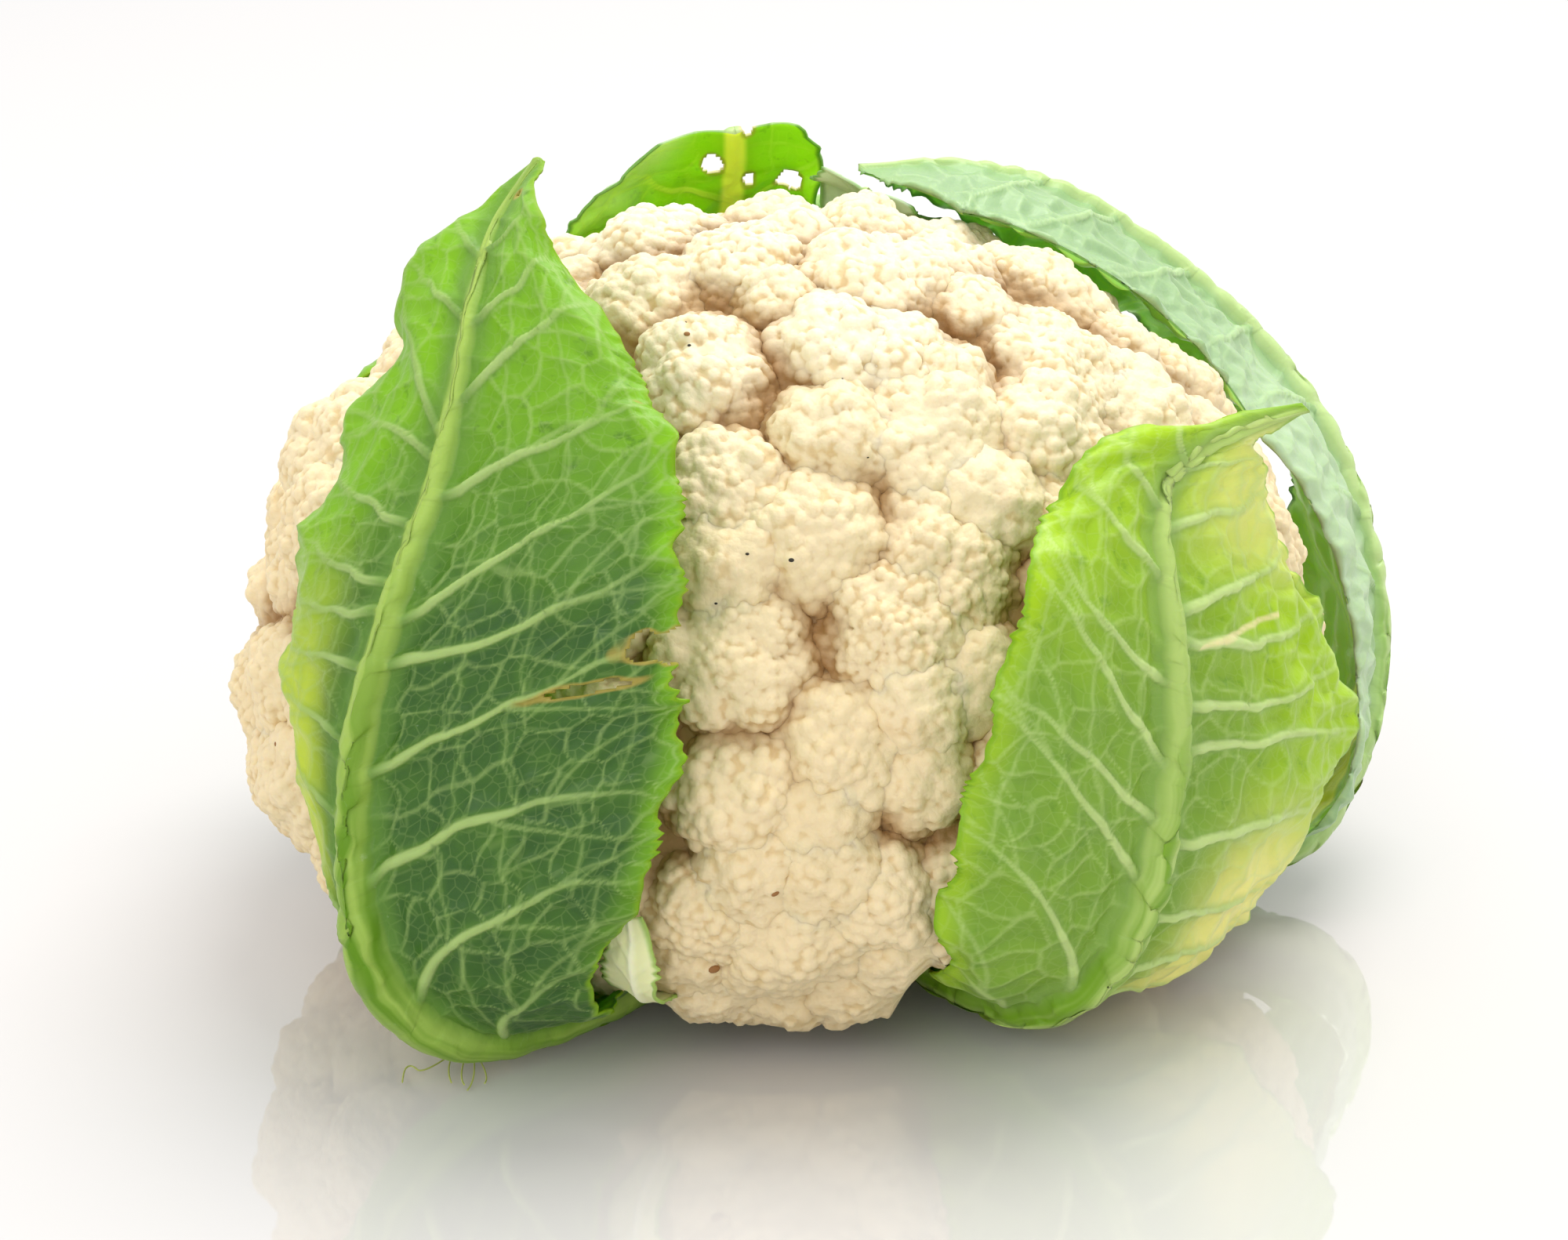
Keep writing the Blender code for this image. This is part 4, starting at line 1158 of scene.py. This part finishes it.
def makeSpecks(florets):
    for tone, colour in (("black", rgb(46, 40, 30)), ("brown", rgb(150, 104, 56))):
        bm = bmesh.new()
        for azimuth, elevation, radius in specks[tone]:
            out = direction(azimuth, elevation)
            start, way = Vector((dome["centre"] + out * 120) * mm), Vector(-out)
            hits = [piece.ray_cast(start, way) for piece in florets]
            nearest = min((hit for hit in hits if hit[0]), key=lambda hit: (hit[1] - start).length)
            turn = nearest[2].to_track_quat("Z", "Y").to_matrix().to_4x4()
            place = Matrix.Translation(nearest[1]) @ turn @ Matrix.Diagonal((1, 0.7, 0.35, 1))
            bmesh.ops.create_icosphere(bm, subdivisions=2, radius=radius * mm, matrix=place)
        seat(meshPiece("specks_" + tone, bm, [plainMaterial(tone + "_specks", colour)]), "curd")


def makeFibres():
    curve = bpy.data.curves.new("fibres", "CURVE")
    curve.dimensions = "3D"
    curve.bevel_depth = fibres["radius"] * mm
    curve.bevel_resolution = 2
    curve.use_fill_caps = True
    for path in fibres["paths"]:
        line = curve.splines.new("NURBS")
        line.points.add(len(path) - 1)
        for point, place in zip(line.points, path):
            point.co = (*np.array(place) * mm, 1)
        line.use_endpoint_u = True
        line.order_u = 3
    holder = bpy.data.objects.new("fibres", curve)
    bpy.context.scene.collection.objects.link(holder)
    bpy.context.view_layer.update()
    mesh = bpy.data.meshes.new_from_object(holder.evaluated_get(bpy.context.evaluated_depsgraph_get()))
    bpy.data.objects.remove(holder)
    bpy.data.curves.remove(curve)
    bm = bmesh.new()
    bm.from_mesh(mesh)
    bpy.data.meshes.remove(mesh)
    piece = meshPiece("leaf_fibres", bm, [plainMaterial("dry_fibre", rgb(176, 184, 96))])
    seat(piece, "leaf_front_left")


makeSpecks(florets)
makeFibres()


# the stem: a turned stalk with a clean cut face

stemForm = {
    "profile": ((0.0, 19.6), (12, 19.6), (14.5, 18.2), (15.6, 15), (17.2, 8.5), (18.6, 3), (19, 1),
                (18.6, 0.02), (0.0, 0.02)),     # (radius, height)
    "turns": 96,
}


def stemMaterial():
    material, tree, shader = freshMaterial("cut_stalk")
    where = addNode(tree, "ShaderNodeTexCoord").outputs["Object"]
    streaks = addNode(tree, "ShaderNodeMapping", Vector=where, Scale=(420.0, 420.0, 40.0)).outputs[0]
    spots = spread(tree, noise(tree, where, 180.0, 4.0), 0, 0.5, 0.62, 0.75)
    colour = paintOver(tree, rgb(214, 222, 168), (
        (noise(tree, streaks, 1.0, 4.0), rgb(236, 236, 204)),
        (spots, rgb(190, 160, 104)),
    ))
    tree.links.new(colour, shader.inputs["Base Color"])
    grain = noise(tree, streaks, 1.0, 5.0)
    bump = addNode(tree, "ShaderNodeBump", Strength=0.4, Distance=0.0003, Height=grain)
    tree.links.new(bump.outputs[0], shader.inputs["Normal"])
    setSockets(shader, {"Roughness": 0.5, "Subsurface Weight": 0.25, "Subsurface Scale": 0.002})
    return material


def makeStem():
    bm = bmesh.new()
    line = [bm.verts.new((r * mm, 0, z * mm)) for r, z in stemForm["profile"]]
    edges = [bm.edges.new(pair) for pair in zip(line, line[1:])]
    bmesh.ops.spin(bm, geom=line + edges, cent=(0, 0, 0), axis=(0, 0, 1), angle=2 * math.pi,
                   steps=stemForm["turns"], use_merge=True)
    bmesh.ops.remove_doubles(bm, verts=bm.verts, dist=1e-6)
    bmesh.ops.recalc_face_normals(bm, faces=bm.faces)
    return seat(meshPiece("cut_stem", bm, [stemMaterial()]), "stem")


makeStem()
print("curd and stem ready")


# stage: pale glossy floor, soft light, camera a little above the head's middle

stage = {
    "floor": 6.0, "target": (0, 0, 0.0524), "distance": 0.678, "elevation": 20.0,
    "lens": 100.0, "sensor": 36.0,
}


def makeFloor():
    material, tree, shader = freshMaterial("pale_floor")
    setSockets(shader, {"Base Color": (0.68, 0.662, 0.655, 1), "Roughness": 0.03, "IOR": 1.9})
    bm = bmesh.new()
    bmesh.ops.create_grid(bm, x_segments=1, y_segments=1, size=stage["floor"] / 2)
    meshPiece("floor", bm, [material])


def makeLight(name, place, target, size, power, colour=(1, 1, 1)):
    light = bpy.data.lights.new(name, "AREA")
    light.shape = "DISK"
    light.size = size
    light.energy = power
    light.color = colour
    holder = bpy.data.objects.new(name, light)
    holder.location = place
    holder.rotation_euler = (Vector(target) - Vector(place)).to_track_quat("-Z", "Y").to_euler()
    bpy.context.scene.collection.objects.link(holder)


def makeCamera():
    data = bpy.data.cameras.new("camera")
    data.lens = stage["lens"]
    data.sensor_width = stage["sensor"]
    holder = bpy.data.objects.new("camera", data)
    tilt = math.radians(stage["elevation"])
    away = Vector((0, -math.cos(tilt), math.sin(tilt))) * stage["distance"]
    holder.location = Vector(stage["target"]) + away
    holder.rotation_euler = (-away).to_track_quat("-Z", "Y").to_euler()
    bpy.context.scene.collection.objects.link(holder)
    bpy.context.scene.camera = holder


def makeSky():
    world = bpy.data.worlds.new("studio")
    world.use_nodes = True
    setSockets(world.node_tree.nodes["Background"], {"Color": (1, 1, 1, 1), "Strength": 1.0})
    bpy.context.scene.world = world


makeFloor()
makeSky()
makeLight("topLight", (0.25, 0.35, 1.1), (0, 0, 0.05), 0.8, 9.0, (1.0, 0.985, 0.96))
makeLight("frontLight", (-0.5, -1.0, 0.6), (0, 0, 0.05), 0.9, 3.0)
makeCamera()
bpy.context.scene.view_settings.view_transform = "Standard"
print("stage ready")
